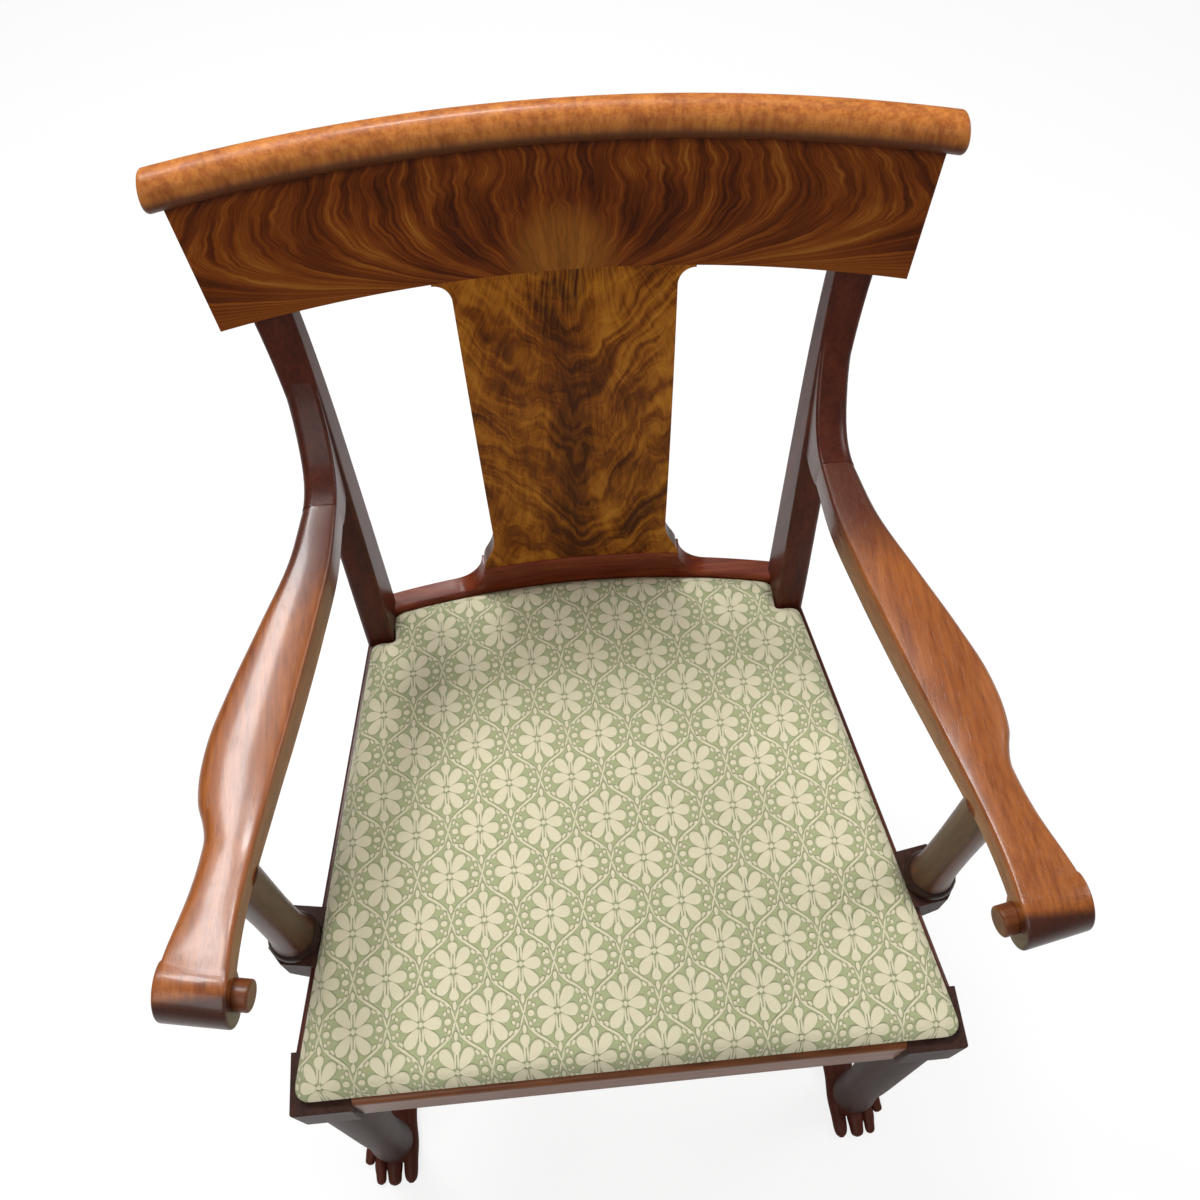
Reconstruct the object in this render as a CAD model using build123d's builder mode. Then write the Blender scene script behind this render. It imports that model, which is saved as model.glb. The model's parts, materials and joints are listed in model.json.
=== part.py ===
"""Open armchair in mahogany: raked tablet back, scrolled arms, paw feet and a drop-in seat.

Frame: +Z up, the chair faces -Y, the origin is on the floor in the middle of its box.
Sizes are millimetres. Right-hand pieces (+X) are modelled and mirrored for the left.
"""
import os
from math import asin, atan, cos, degrees, radians, sin, sqrt

from build123d import *

os.makedirs("parts", exist_ok=True)

# Fits
joint_gap = 0.15
glue_line = 0.2
seat_gap = 1.0
rest_gap = 0.3

# Seat rails
rail_top = 440.0
rail_height = 55.0
rail_bottom = rail_top - rail_height
rail_nosing = 5.0
front_rail_face = -276.0
front_rail_thickness = 28.0
side_rail_thickness = 24.0
side_rail_front_x = 259.5
side_rail_rear_x = 202.7
tenon_length = 20.0
tenon_thickness = 10.0
tenon_height = 32.0
tenon_rise = 2.5

# Recess that the drop-in seat lies in
front_lip = 6.0
side_lip = 7.0
recess_depth = 18.0
recess_corner = 12.0
notch_corner = 8.0
notch_clear = 3.0
ledge = rail_top - recess_depth

# Front legs with paw feet
leg_block = 47.0
leg_block_outer = 263.0
leg_block_front = -280.0
leg_block_edge = 2.5
paw_shift_x = 10.0
paw_shift_y = -13.0
leg_radius_top = 22.5
leg_radius_middle = 20.5
leg_middle_height = 160.0
ankle_height = 46.0
ankle_radius = 18.5
foot_swell_height = 22.0
foot_swell_radius = 20.5
toe_length = 31.0
toe_radius = 8.0
toe_lift = 11.0
toe_start = 7.0
toe_pitch = 14.0
toe_angles = (-27.0, 0.0, 27.0, 78.0)

# Rear posts, stile and sabre leg in one
post_edge = 3.0
post_skew = 0.13
post_seat_front = 117.0
post_seat_depth = 36.0
post_seat_width = 25.0
post_tenon_size = (18.0, 8.0)
post_tenon_height = 30.0
post_tenon_back = 9.0

# Curved back, bowed about an upright axis in front of the chair
back_axis_y = -664.0
back_rake = 0.36
crest_bottom = 768.0
crest_height = 96.0
crest_front = 245.0
crest_thickness = 27.0
crest_half_bottom = 250.0
crest_end_splay = 0.165
veneer = 1.2
roll_radius = 14.5
roll_level = 868.5
roll_set_back = 3.0
roll_half_length = 275.0
roll_end_edge = 3.0

# Splat
splat_front_foot = 165.0
splat_foot = 488.0
splat_core = 13.0
splat_half_top = 84.5
splat_half_waist = 76.5
splat_half_foot = 88.0
splat_waist = 524.0
splat_flare = 14.0
splat_flare_edge = 1.5
splat_tenon_half = 55.0
splat_tenon = 8.0
splat_tenon_height = 12.0

# Rear seat rail with the raised shoe under the splat
rear_rail_front = 162.0
rear_rail_thickness = 18.0
rear_rail_top = 456.0
rear_ledge = 12.0
rear_tenon_inset = 3.0
rear_tenon_back = 5.0
shoe_half_top = 92.0
shoe_half_foot = 116.0

# Arms
arm_joint_y = 130.0
arm_outer_edge = 8.0
arm_inner_edge = 2.5
roll_angle = 10.8
scroll_radius = 21.5
scroll_x = 275.0
scroll_y = -223.0
scroll_z = 638.0
scroll_length = 45.0
eye_radius = 10.5
eye_edge = 1.5
eye_stand_outside = 3.5
eye_stand_inside = 11.0
eye_sink = 4.0
eye_shank_radius = 3.0
eye_shank = 12.0
arm_dowel_radius = 5.0
arm_dowel_half = 18.0
arm_dowel_x = 202.5
arm_dowel_z = 641.0

# Turned arm supports on brackets outside the side rails
support_x = 260.0
support_y = -146.0
bracket_cap = 7.0
support_ring_radius = 20.0
support_ring_height = 7.0
support_ring_edge = 1.0
support_radius = 16.0
support_waist = 15.0
support_tenon_radius = 7.0
support_tenon = 14.0
support_height = 177.0
bracket_length = 48.0
bracket_reach = 35.0
bracket_drop = 42.0
bracket_face = 17.0
bracket_lap = 6.0
bracket_chamfer = 12.0
bracket_screw_radius = 2.2
bracket_screw_length = 40.0
bracket_screw_head = 4.5
bracket_screw_spread = 13.0

# Corner blocks under the seat
corner_block_height = 28.0
corner_block_drop = 19.0
corner_block_arm = 62.0
corner_screw_radius = 2.5
corner_screw_bite = 15.0
corner_screw_depth = 12.0
corner_screw_head = 5.0

# Drop-in seat
cover = 1.2
seat_bar_width = 45.0
seat_bar_height = 18.0
seat_crown = 466.0
seat_crown_radius = 3600.0
seat_shoulder = 7.0
hem_width = 32.0
tack_inset = 28.0
tack_head_radius = 3.5
tack_head = 1.0
tack_shank_radius = 0.9
tack_shank = 9.0
tacks_across = 5
tack_half_front = 150.0
tack_half_rear = 110.0
tacks_along = 4
tack_side_start = -170.0
tack_side_pitch = 75.0
web_width = 50.0
web_thickness = 1.5
web_spacing = 88.0
web_count = 3
hessian_thickness = 0.8
hessian_margin = 10.0
stuffing_margin = 6.0


def save(piece, name):
    """Label a finished piece and write its file."""
    piece.part.label = name
    export_step(piece.part, f"parts/{name}.step")


def twin(piece):
    """The same piece for the left side."""
    with BuildPart() as other:
        mirror(piece.part, about=Plane.YZ)
    return other


# Side rail line in plan: outer face from the leg block to the rear post
leg_block_back = leg_block_front + leg_block
leg_centre_x = leg_block_outer - leg_block / 2
leg_centre_y = leg_block_front + leg_block / 2
rail_slope = (side_rail_rear_x - side_rail_front_x) / (post_seat_front - leg_block_back)
rail_turn = degrees(atan(rail_slope))
rail_cos = cos(radians(rail_turn))


def rail_x(y, inset=0.0):
    """X of the right side rail's outer face, or of a line set inside it."""
    return side_rail_front_x + rail_slope * (y - leg_block_back) - inset / rail_cos


def back_plane(half_width, radius):
    """Plane through the upright axis of the back, turned to the right until it reaches half_width."""
    turn = asin(half_width / radius)
    return Plane(
        origin=(0, back_axis_y, 0),
        x_dir=(sin(turn), cos(turn), 0),
        z_dir=(cos(turn), -sin(turn), 0),
    )


def back_sweep(half_width, radius):
    """Angle that carries a back_plane profile across to the left-hand end, in degrees."""
    return 2 * degrees(asin(half_width / radius))


back_axis = Axis((0, back_axis_y, 0), (0, 0, 1))
back_reach = crest_half_bottom + crest_height


# Outline of the seat recess, seen from above
def recess_outline(level, inset=0.0):
    """Face of the recess at a level, drawn in by inset all round."""
    front = front_rail_face + front_lip
    notch_y = post_seat_front - notch_clear
    notch_x = side_rail_rear_x - post_seat_width - notch_clear
    rear_radius = rear_rail_front - back_axis_y
    rear_y = back_axis_y + sqrt(rear_radius**2 - notch_x**2)
    with BuildSketch(Plane.XY.offset(level)) as outline:
        with BuildLine():
            Polyline(
                (-notch_x, rear_y),
                (-notch_x, notch_y),
                (-rail_x(notch_y, side_lip), notch_y),
                (-rail_x(front, side_lip), front),
                (rail_x(front, side_lip), front),
                (rail_x(notch_y, side_lip), notch_y),
                (notch_x, notch_y),
                (notch_x, rear_y),
            )
            ThreePointArc((notch_x, rear_y), (0, rear_rail_front), (-notch_x, rear_y))
        make_face()
        rows = outline.vertices().group_by(Axis.Y)
        fillet(rows[0], recess_corner)
        rear = outline.vertices().filter_by(lambda corner: corner.Y > notch_y - notch_clear)
        fillet(rear, notch_corner)
        if inset:
            offset(amount=-inset, mode=Mode.REPLACE)
    return outline.sketch


# Rear posts
# Each level: height, front face y, depth, outer face x, width
post_levels = (
    (0.0, 205.0, 31.0, 201.0, 26.0),
    (140.0, 154.0, 35.0, 201.0, 26.0),
    (280.0, 120.0, 37.0, 201.5, 25.5),
    (rail_bottom, 111.5, 37.0, 202.0, post_seat_width),
    (rail_top, post_seat_front, post_seat_depth, side_rail_rear_x, post_seat_width),
    (530.0, 142.0, 32.0, 207.0, 25.0),
    (618.0, 169.0, 28.0, 212.0, 25.0),
    (683.0, 192.0, 24.0, 217.5, 26.0),
    (crest_bottom, 225.5, 18.0, 232.0, 31.0),
)


def curved_view(plane, near, far):
    """Face on a plane between two curves through points, closed by straight ends."""
    with BuildSketch(plane) as view:
        with BuildLine():
            Spline(*near)
            Spline(*far)
            Line(near[0], far[0])
            Line(near[-1], far[-1])
        make_face()
    return view.sketch


# Stub at the front of each post that the arm butts against, plan and side view
stub_inner = ((189.0, 130.0), (188.5, 153.0), (190.5, 178.0), (192.5, 192.0), (197.0, 212.0))
stub_outer = ((216.5, 130.0), (214.5, 155.0), (216.0, 178.0), (217.6, 192.0), (221.5, 212.0))
stub_top = ((130.0, 656.0), (152.0, 663.0), (176.0, 680.0), (198.0, 705.0), (212.0, 727.0))
stub_foot_z = 626.0
stub_crotch = (172.0, 616.0)
stub_heel = (200.0, 640.0)
post_top = post_levels[-1]
post_tenon_x = post_top[3] - post_top[4] / 2 - post_skew * post_top[2] / 2
post_tenon_centre = (post_tenon_x, post_top[1] + post_tenon_back)
rake_direction = (0, back_rake, 1)


def post_tenon(gap=0.0):
    """Tenon on the top of the right post, as a raked solid."""
    level = crest_bottom - gap
    with BuildPart() as tenon:
        with BuildSketch(Plane.XY.offset(level)):
            with Locations(post_tenon_centre):
                Rectangle(post_tenon_size[0] + 2 * gap, post_tenon_size[1] + 2 * gap)
        extrude(amount=post_tenon_height + 2 * gap, dir=rake_direction)
    return tenon.part


post_front = [(front, level) for level, front, _, _, _ in post_levels]
post_back = [(front + depth, level) for level, front, depth, _, _ in post_levels]
post_outer = [(outer + post_skew * front, level) for level, front, _, outer, _ in post_levels]
post_inner = [(outer + post_skew * front - width, level) for level, front, _, outer, width in post_levels]
with BuildPart() as post_blank:
    extrude(curved_view(Plane.YZ, post_front, post_back), amount=back_reach)
    extrude(
        curved_view(Plane.XZ, post_outer, post_inner),
        amount=back_reach,
        dir=(-post_skew, 1, 0),
        mode=Mode.INTERSECT,
    )
    fillet(post_blank.edges().sort_by(SortBy.LENGTH)[-4:], post_edge)

with BuildPart() as arm_stub:
    with BuildSketch(Plane.YZ):
        with BuildLine():
            Spline(*stub_top)
            Polyline(stub_top[-1], stub_heel, stub_crotch, (arm_joint_y, stub_foot_z), stub_top[0])
        make_face()
    extrude(amount=crest_half_bottom)
    with BuildSketch():
        with BuildLine():
            Spline(*stub_inner)
            Spline(*stub_outer)
            Line(stub_inner[0], stub_outer[0])
            Line(stub_inner[-1], stub_outer[-1])
        make_face()
    extrude(amount=crest_bottom, mode=Mode.INTERSECT)
    stub_edges = arm_stub.edges().sort_by(SortBy.LENGTH)[-2:].sort_by(Axis.X)
    fillet(stub_edges[1], arm_outer_edge)
    fillet(arm_stub.edges().sort_by(SortBy.LENGTH)[-3:].sort_by(Axis.X)[0], arm_inner_edge)

# Tenons on the seat rails that the posts take
side_tenon_centre = (rail_x(post_seat_front, side_rail_thickness / 2), post_seat_front)
tenon_level = rail_bottom + tenon_height / 2 + tenon_rise


def rail_tenon(x, y, turn, gap=0.0):
    """Tenon standing across a shoulder at (x, y), its length along the direction of turn."""
    with BuildPart(Plane((x, y, tenon_level), x_dir=(cos(turn), sin(turn), 0))) as tenon:
        Box(2 * tenon_length, tenon_thickness + 2 * gap, tenon_height + 2 * gap)
    return tenon.part


rear_tenon_x = side_rail_rear_x - post_seat_width - rear_tenon_inset
rear_rail_radius = rear_rail_front - back_axis_y
rear_tenon_y = back_axis_y + sqrt(rear_rail_radius**2 - rear_tenon_x**2) + rear_tenon_back
side_tenon_turn = radians(90 - rail_turn)
front_tenon_y = front_rail_face + front_rail_thickness / 2
side_front_tenon = (rail_x(leg_block_back, side_rail_thickness / 2), leg_block_back)
arm_dowel_place = Location((arm_dowel_x, arm_joint_y, arm_dowel_z), (90, 0, 0))

with BuildPart() as rear_post_right:
    add(post_blank.part)
    add(arm_stub.part)
    add(post_tenon())
    add(rail_tenon(rear_tenon_x, rear_tenon_y, 0, joint_gap), mode=Mode.SUBTRACT)
    add(rail_tenon(*side_tenon_centre, side_tenon_turn, joint_gap), mode=Mode.SUBTRACT)
    with Locations(arm_dowel_place):
        Cylinder(arm_dowel_radius, 2 * arm_dowel_half, mode=Mode.SUBTRACT)

save(rear_post_right, "rear_post_right")
save(twin(rear_post_right), "rear_post_left")


# Tablet crest rail, a bowed and raked board with splayed ends
crest_radius = crest_front - back_axis_y
crest_top = crest_bottom + crest_height
crest_tenon_y = crest_front + splat_core / 2


def crest_profile(near, far, height):
    """Corners of a raked board between two depths behind the veneer's face, as (radius, level)."""
    lean = back_rake * height
    return (
        (crest_radius + near, crest_bottom),
        (crest_radius + far, crest_bottom),
        (crest_radius + far + lean, crest_bottom + height),
        (crest_radius + near + lean, crest_bottom + height),
    )


def crest_ends(gap=0.0):
    """Front view of the crest, splayed towards the top."""
    low_half = crest_half_bottom + gap
    top_half = low_half + crest_end_splay * crest_height
    with BuildSketch(Plane.XZ) as ends:
        with BuildLine():
            Polyline(
                (-low_half, crest_bottom),
                (low_half, crest_bottom),
                (top_half, crest_top + gap),
                (-top_half, crest_top + gap),
                close=True,
            )
        make_face()
    return ends.sketch


def splat_tenon_block(level, centre_y, height, gap=0.0):
    """Tenon at the end of the splat, raked where it enters the crest."""
    with BuildPart() as tenon:
        with BuildSketch(Plane.XY.offset(level)):
            with Locations((0, centre_y)):
                Rectangle(2 * (splat_tenon_half + gap), splat_tenon + 2 * gap)
        extrude(amount=height, dir=rake_direction if height > 0 else (0, 0, 1))
    return tenon.part


with BuildPart() as crest_rail:
    with BuildSketch(back_plane(back_reach, crest_radius)):
        with BuildLine():
            Polyline(*crest_profile(veneer + glue_line, crest_thickness, crest_height), close=True)
        make_face()
    revolve(axis=back_axis, revolution_arc=back_sweep(back_reach, crest_radius))
    extrude(crest_ends(), amount=crest_radius, both=True, mode=Mode.INTERSECT)
    add(post_tenon(joint_gap), mode=Mode.SUBTRACT)
    add(mirror(post_tenon(joint_gap), about=Plane.YZ, mode=Mode.PRIVATE), mode=Mode.SUBTRACT)
    add(
        splat_tenon_block(crest_bottom, crest_tenon_y, splat_tenon_height, joint_gap),
        mode=Mode.SUBTRACT,
    )

with BuildPart() as crest_veneer_right:
    with BuildSketch(back_plane(back_reach, crest_radius)):
        with BuildLine():
            Polyline(*crest_profile(0, veneer, crest_height), close=True)
        make_face()
    revolve(axis=back_axis, revolution_arc=back_sweep(back_reach, crest_radius) / 2)
    extrude(crest_ends(), amount=crest_radius, both=True, mode=Mode.INTERSECT)

# Bead along the top of the crest, grooved to sit over its top and front
with BuildPart() as crest_groove:
    with BuildSketch(back_plane(back_reach, crest_radius)):
        with BuildLine():
            Polyline(*crest_profile(-glue_line, crest_thickness, crest_height + glue_line), close=True)
        make_face()
    revolve(axis=back_axis, revolution_arc=back_sweep(back_reach, crest_radius))
    extrude(crest_ends(glue_line), amount=crest_radius, both=True, mode=Mode.INTERSECT)

roll_distance = crest_radius + back_rake * (roll_level - crest_bottom) + roll_set_back
with BuildPart() as crest_roll:
    with BuildSketch(back_plane(back_reach, roll_distance)):
        with Locations((roll_distance, roll_level)):
            Circle(roll_radius)
    revolve(axis=back_axis, revolution_arc=back_sweep(back_reach, roll_distance))
    Box(2 * roll_half_length, 2 * crest_radius, 2 * (crest_top + crest_height), mode=Mode.INTERSECT)
    fillet(crest_roll.faces().filter_by(Axis.X).edges(), roll_end_edge)
    add(crest_groove.part, mode=Mode.SUBTRACT)

for piece, name in ((crest_rail, "crest_rail"), (crest_roll, "crest_roll")):
    save(piece, name)
save(crest_veneer_right, "crest_veneer_right")
save(twin(crest_veneer_right), "crest_veneer_left")


# Splat, bowed with the crest and curved from the shoe up to its rake
splat_top_radius = crest_radius
splat_foot_radius = splat_front_foot - back_axis_y
splat_height = crest_bottom - splat_foot
mean_slope = (splat_top_radius - splat_foot_radius) / splat_height
splat_mid_radius = splat_top_radius - splat_height / 4 * (back_rake + mean_slope)


def splat_strip(near, far):
    """Bowed strip of the splat between two depths behind its veneered face."""
    middle = splat_foot + splat_height / 2
    with BuildPart() as strip:
        with BuildSketch(back_plane(back_reach, crest_radius)):
            with BuildLine():
                for depth in (near, far):
                    ThreePointArc(
                        (splat_foot_radius + depth, splat_foot),
                        (splat_mid_radius + depth, middle),
                        (splat_top_radius + depth, crest_bottom),
                    )
                for radius, level in ((splat_foot_radius, splat_foot), (splat_top_radius, crest_bottom)):
                    Line((radius + near, level), (radius + far, level))
            make_face()
        revolve(axis=back_axis, revolution_arc=back_sweep(back_reach, crest_radius))
        extrude(splat_outline(), amount=crest_radius, both=True, mode=Mode.INTERSECT)
    return strip.part


def splat_outline():
    """Front view of the splat: flared under the crest, waisted, with an ogee foot."""
    flare_end = crest_bottom - splat_flare_edge
    flare_start = flare_end - splat_flare
    bend = splat_flare * (1 - cos(radians(45)))
    ogee_middle = ((splat_half_waist + splat_half_foot) / 2, (splat_foot + splat_waist) / 2 - 3)
    with BuildSketch(Plane.XZ) as outline:
        with BuildLine():
            Line((0, splat_foot), (splat_half_foot, splat_foot))
            Spline(
                (splat_half_foot, splat_foot),
                ogee_middle,
                (splat_half_waist, splat_waist),
                tangents=((0, 1), (0.03, 1)),
            )
            Line((splat_half_waist, splat_waist), (splat_half_top, flare_start))
            ThreePointArc(
                (splat_half_top, flare_start),
                (splat_half_top + bend, flare_end - bend),
                (splat_half_top + splat_flare, flare_end),
            )
            Polyline(
                (splat_half_top + splat_flare, flare_end),
                (splat_half_top + splat_flare, crest_bottom),
                (0, crest_bottom),
            )
            mirror(about=Plane.YZ)
        make_face()
    return outline.sketch


shoe_tenon_y = splat_front_foot + splat_core / 2
with BuildPart() as splat:
    add(splat_strip(veneer + glue_line, veneer + splat_core))
    add(splat_tenon_block(crest_bottom, crest_tenon_y, splat_tenon_height))
    add(splat_tenon_block(splat_foot, shoe_tenon_y, -splat_tenon_height))

with BuildPart() as splat_veneer_right:
    add(splat_strip(0, veneer))
    split(bisect_by=Plane.YZ, keep=Keep.TOP)

save(splat, "splat")
save(splat_veneer_right, "splat_veneer_right")
save(twin(splat_veneer_right), "splat_veneer_left")


# Rear seat rail, bowed, with a ledge for the seat and a raised shoe with scooped ends
rear_reach = side_rail_rear_x - post_seat_width / 2
with BuildPart() as rear_seat_rail:
    with BuildSketch(back_plane(rear_reach, rear_rail_radius)):
        with BuildLine():
            Polyline(
                (rear_rail_radius - rear_ledge, rail_bottom),
                (rear_rail_radius + rear_rail_thickness, rail_bottom),
                (rear_rail_radius + rear_rail_thickness, splat_foot),
                (rear_rail_radius, splat_foot),
                (rear_rail_radius, ledge),
                (rear_rail_radius - rear_ledge, ledge),
                close=True,
            )
        make_face()
    revolve(axis=back_axis, revolution_arc=back_sweep(rear_reach, rear_rail_radius))
    with BuildSketch(Plane.XZ):
        with BuildLine():
            scoop_side = (shoe_half_top + 4, (splat_foot + rear_rail_top) / 2 + 2)
            Spline(
                (shoe_half_top, splat_foot),
                scoop_side,
                (shoe_half_foot, rear_rail_top),
                tangents=((0.1, -1), (1, 0)),
            )
            Polyline(
                (shoe_half_foot, rear_rail_top),
                (back_reach, rear_rail_top),
                (back_reach, splat_foot + recess_depth),
                (shoe_half_top, splat_foot + recess_depth),
                (shoe_half_top, splat_foot),
            )
        make_face()
        mirror(about=Plane.YZ)
    extrude(amount=crest_radius, both=True, mode=Mode.SUBTRACT)
    for post in (post_blank, twin(post_blank)):
        add(post.part, mode=Mode.SUBTRACT)
    for side in (1, -1):
        add(rail_tenon(side * rear_tenon_x, rear_tenon_y, 0))
    add(splat_tenon_block(splat_foot, shoe_tenon_y, -splat_tenon_height, joint_gap), mode=Mode.SUBTRACT)

save(rear_seat_rail, "rear_seat_rail")


# Front and side seat rails
rail_half = leg_block_outer - leg_block
with BuildPart() as recess:
    extrude(recess_outline(ledge), amount=2 * recess_depth)

with BuildPart() as front_seat_rail:
    with BuildSketch(Plane.YZ) as rail_section:
        with Locations((front_rail_face, rail_bottom)):
            Rectangle(front_rail_thickness, rail_height, align=Align.MIN)
        fillet(rail_section.vertices().group_by(Axis.Y)[-1].sort_by(Axis.X)[0], rail_nosing)
    extrude(amount=rail_half, both=True)
    add(recess.part, mode=Mode.SUBTRACT)
    for side in (1, -1):
        add(rail_tenon(side * rail_half, front_tenon_y, 0))

rail_rear_end = post_seat_front + post_edge
with BuildPart() as side_rail_right:
    with BuildSketch(Plane.XY.offset(rail_bottom)):
        with BuildLine():
            Polyline(
                (rail_x(leg_block_back), leg_block_back),
                (rail_x(rail_rear_end), rail_rear_end),
                (rail_x(rail_rear_end, side_rail_thickness), rail_rear_end),
                (rail_x(leg_block_back, side_rail_thickness), leg_block_back),
                close=True,
            )
        make_face()
    extrude(amount=rail_height)
    long_edges = side_rail_right.edges().group_by(Axis.Z)[-1].sort_by(SortBy.LENGTH)[-2:]
    fillet(long_edges.sort_by(Axis.X)[-1], rail_nosing / 2)
    add(recess.part, mode=Mode.SUBTRACT)
    add(post_blank.part, mode=Mode.SUBTRACT)
    add(rail_tenon(*side_tenon_centre, side_tenon_turn))
    add(rail_tenon(*side_front_tenon, side_tenon_turn))


# Front legs: square block, round tapering shaft, ankle and four-toed paw
# Each level: height, share of the paw's shift, radius
leg_foot = (
    (0.0, 1.0, ankle_radius),
    (foot_swell_height, 1.0, foot_swell_radius),
    (ankle_height, 1.0, ankle_radius),
)
leg_shaft = (
    (ankle_height, 1.0, ankle_radius),
    (leg_middle_height, 0.68, leg_radius_middle),
    (rail_bottom, 0.0, leg_radius_top),
)


def leg_slice(level, shift, radius):
    """Level slice of the right front leg."""
    with BuildSketch(Plane.XY.offset(level)) as section:
        with Locations((leg_centre_x + shift * paw_shift_x, leg_centre_y + shift * paw_shift_y)):
            Circle(radius)
    return section.sketch


def toe(angle):
    """One toe of the right paw, a knuckled finger turned outward from straight ahead by angle."""
    turn = radians(angle)
    dip = radians(toe_pitch)
    ahead = (sin(turn), -cos(turn))
    root = (
        leg_centre_x + paw_shift_x + toe_start * ahead[0],
        leg_centre_y + paw_shift_y + toe_start * ahead[1],
        toe_lift,
    )
    along = (ahead[0] * cos(dip), ahead[1] * cos(dip), -sin(dip))
    with BuildPart() as finger:
        with BuildSketch(Plane(root, x_dir=along, z_dir=(cos(turn), sin(turn), 0))):
            with BuildLine():
                Spline(
                    (-toe_radius, 0),
                    (toe_length / 2, toe_radius),
                    (toe_length, 0),
                    tangents=((0.4, 1), (0, -1)),
                )
                Line((-toe_radius, 0), (toe_length, 0))
            make_face()
        revolve(axis=Axis(root, along))
        split(bisect_by=Plane.XY, keep=Keep.TOP)
    return finger.part


with BuildPart() as front_leg_right:
    with BuildSketch(Plane.XY.offset(rail_bottom)):
        with Locations((leg_centre_x, leg_centre_y)):
            RectangleRounded(leg_block, leg_block, leg_block_edge)
    extrude(amount=rail_height)
    add(recess.part, mode=Mode.SUBTRACT)
    loft(sections=[leg_slice(*level) for level in leg_foot])
    loft(sections=[leg_slice(*level) for level in leg_shaft])
    for angle in toe_angles:
        add(toe(angle))
    add(rail_tenon(rail_half, front_tenon_y, 0, joint_gap), mode=Mode.SUBTRACT)
    add(rail_tenon(*side_front_tenon, side_tenon_turn, joint_gap), mode=Mode.SUBTRACT)

save(front_leg_right, "front_leg_right")
save(twin(front_leg_right), "front_leg_left")
save(front_seat_rail, "front_seat_rail")


# Arms: two curved views with rounded long edges, then rolled into a scroll
# Each station: y, inner x, outer x, top, thickness
arm_stations = (
    (arm_joint_y, 189.0, 216.5, 656.0, 30.0),
    (90.0, 194.0, 228.0, 648.5, 32.0),
    (40.0, 205.5, 250.0, 643.0, 33.0),
    (-10.0, 217.5, 271.0, 640.5, 33.0),
    (-50.0, 226.5, 284.0, 640.5, 31.0),
    (-85.0, 234.5, 287.0, 641.5, 29.0),
    (-122.0, 241.5, 277.5, 645.0, 26.0),
    (-165.0, 248.5, 283.5, 651.0, 23.0),
    (-205.0, 252.0, 291.5, 657.0, 22.0),
    (scroll_y, 252.5, 296.0, scroll_z + scroll_radius, scroll_radius),
)
# Tight hollow that ends the swell of the arm's outer edge, and the roll's own outline
arm_hollow = ((286.3, -97.0), (281.5, -109.0), (278.2, -116.0), (277.6, -121.0), (278.6, -133.0))
roll_plan = ((250.6, -195.0), (252.5, -223.0), (254.5, -250.0), (301.5, -250.0), (298.0, -223.0), (294.0, -195.0))
arm_inner = [(inner, y) for y, inner, _, _, _ in arm_stations]
arm_outer = [(outer, y) for y, _, outer, _, _ in arm_stations]
arm_outer[-4:-3] = arm_hollow
arm_top = [(y, top) for y, _, _, top, _ in arm_stations]
arm_under = [(y, top - thickness) for y, _, _, top, thickness in arm_stations]
roll_axis = Vector(cos(radians(roll_angle)), sin(radians(roll_angle)), 0)
scroll_centre = Vector(scroll_x, scroll_y, scroll_z)
support_base = rail_top + bracket_cap


def scroll_end(side, sunk=0.0):
    """Plane of a scroll's end, side 1 outside and -1 inside, facing away from the arm."""
    return Plane(scroll_centre + roll_axis * (side * (scroll_length / 2 - sunk)), z_dir=roll_axis * side)


with BuildPart() as scroll:
    with BuildSketch(scroll_end(-1, -scroll_length)):
        Circle(scroll_radius)
    extrude(amount=-3 * scroll_length)
    with BuildSketch():
        with BuildLine():
            Polyline(*roll_plan, close=True)
        make_face()
    extrude(amount=crest_bottom, mode=Mode.INTERSECT)


with BuildPart() as arm_right:
    extrude(curved_view(Plane.XY, arm_inner, arm_outer), amount=crest_bottom)
    extrude(curved_view(Plane.YZ, arm_top, arm_under), amount=back_reach, mode=Mode.INTERSECT)
    long_edges = arm_right.edges().sort_by(SortBy.LENGTH)[-4:].sort_by(Axis.X)
    fillet(long_edges[2:], arm_outer_edge)
    fillet(arm_right.edges().sort_by(SortBy.LENGTH)[-6:].sort_by(Axis.X)[:2], arm_inner_edge)
    add(scroll.part)
with BuildPart() as bosses_right:
    for side, stand in ((1, eye_stand_outside), (-1, eye_stand_inside)):
        with BuildSketch(scroll_end(side, eye_sink)):
            Circle(eye_radius)
        extrude(amount=eye_sink + stand)
        rim = bosses_right.faces().sort_by(Axis(scroll_centre, roll_axis * side))[-1]
        fillet(rim.edges(), eye_edge)
    add(arm_right.part, mode=Mode.SUBTRACT)
    for side in (1, -1):
        with BuildSketch(scroll_end(side, eye_shank)):
            Circle(eye_shank_radius)
        extrude(amount=eye_shank + eye_stand_outside / 2)
with BuildPart() as arm_right_cut:
    add(arm_right.part)
    for side in (1, -1):
        with BuildSketch(scroll_end(side, eye_shank)):
            Circle(eye_shank_radius)
        extrude(amount=eye_shank + eye_sink, mode=Mode.SUBTRACT)
    with Locations(arm_dowel_place):
        Cylinder(arm_dowel_radius, 2 * arm_dowel_half, mode=Mode.SUBTRACT)
    with BuildSketch(Plane((support_x, support_y, support_base))):
        Circle(support_tenon_radius)
    extrude(amount=support_height + support_tenon, mode=Mode.SUBTRACT)

with BuildPart() as arm_scroll_bosses:
    add(bosses_right.part)
    mirror(bosses_right.part, about=Plane.YZ)

with BuildPart() as arm_dowels:
    with Locations(arm_dowel_place):
        Cylinder(arm_dowel_radius, 2 * arm_dowel_half)
    mirror(about=Plane.YZ)

save(arm_right_cut, "arm_right")
save(twin(arm_right_cut), "arm_left")
save(arm_scroll_bosses, "arm_scroll_bosses")
save(arm_dowels, "arm_dowels")


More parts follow.
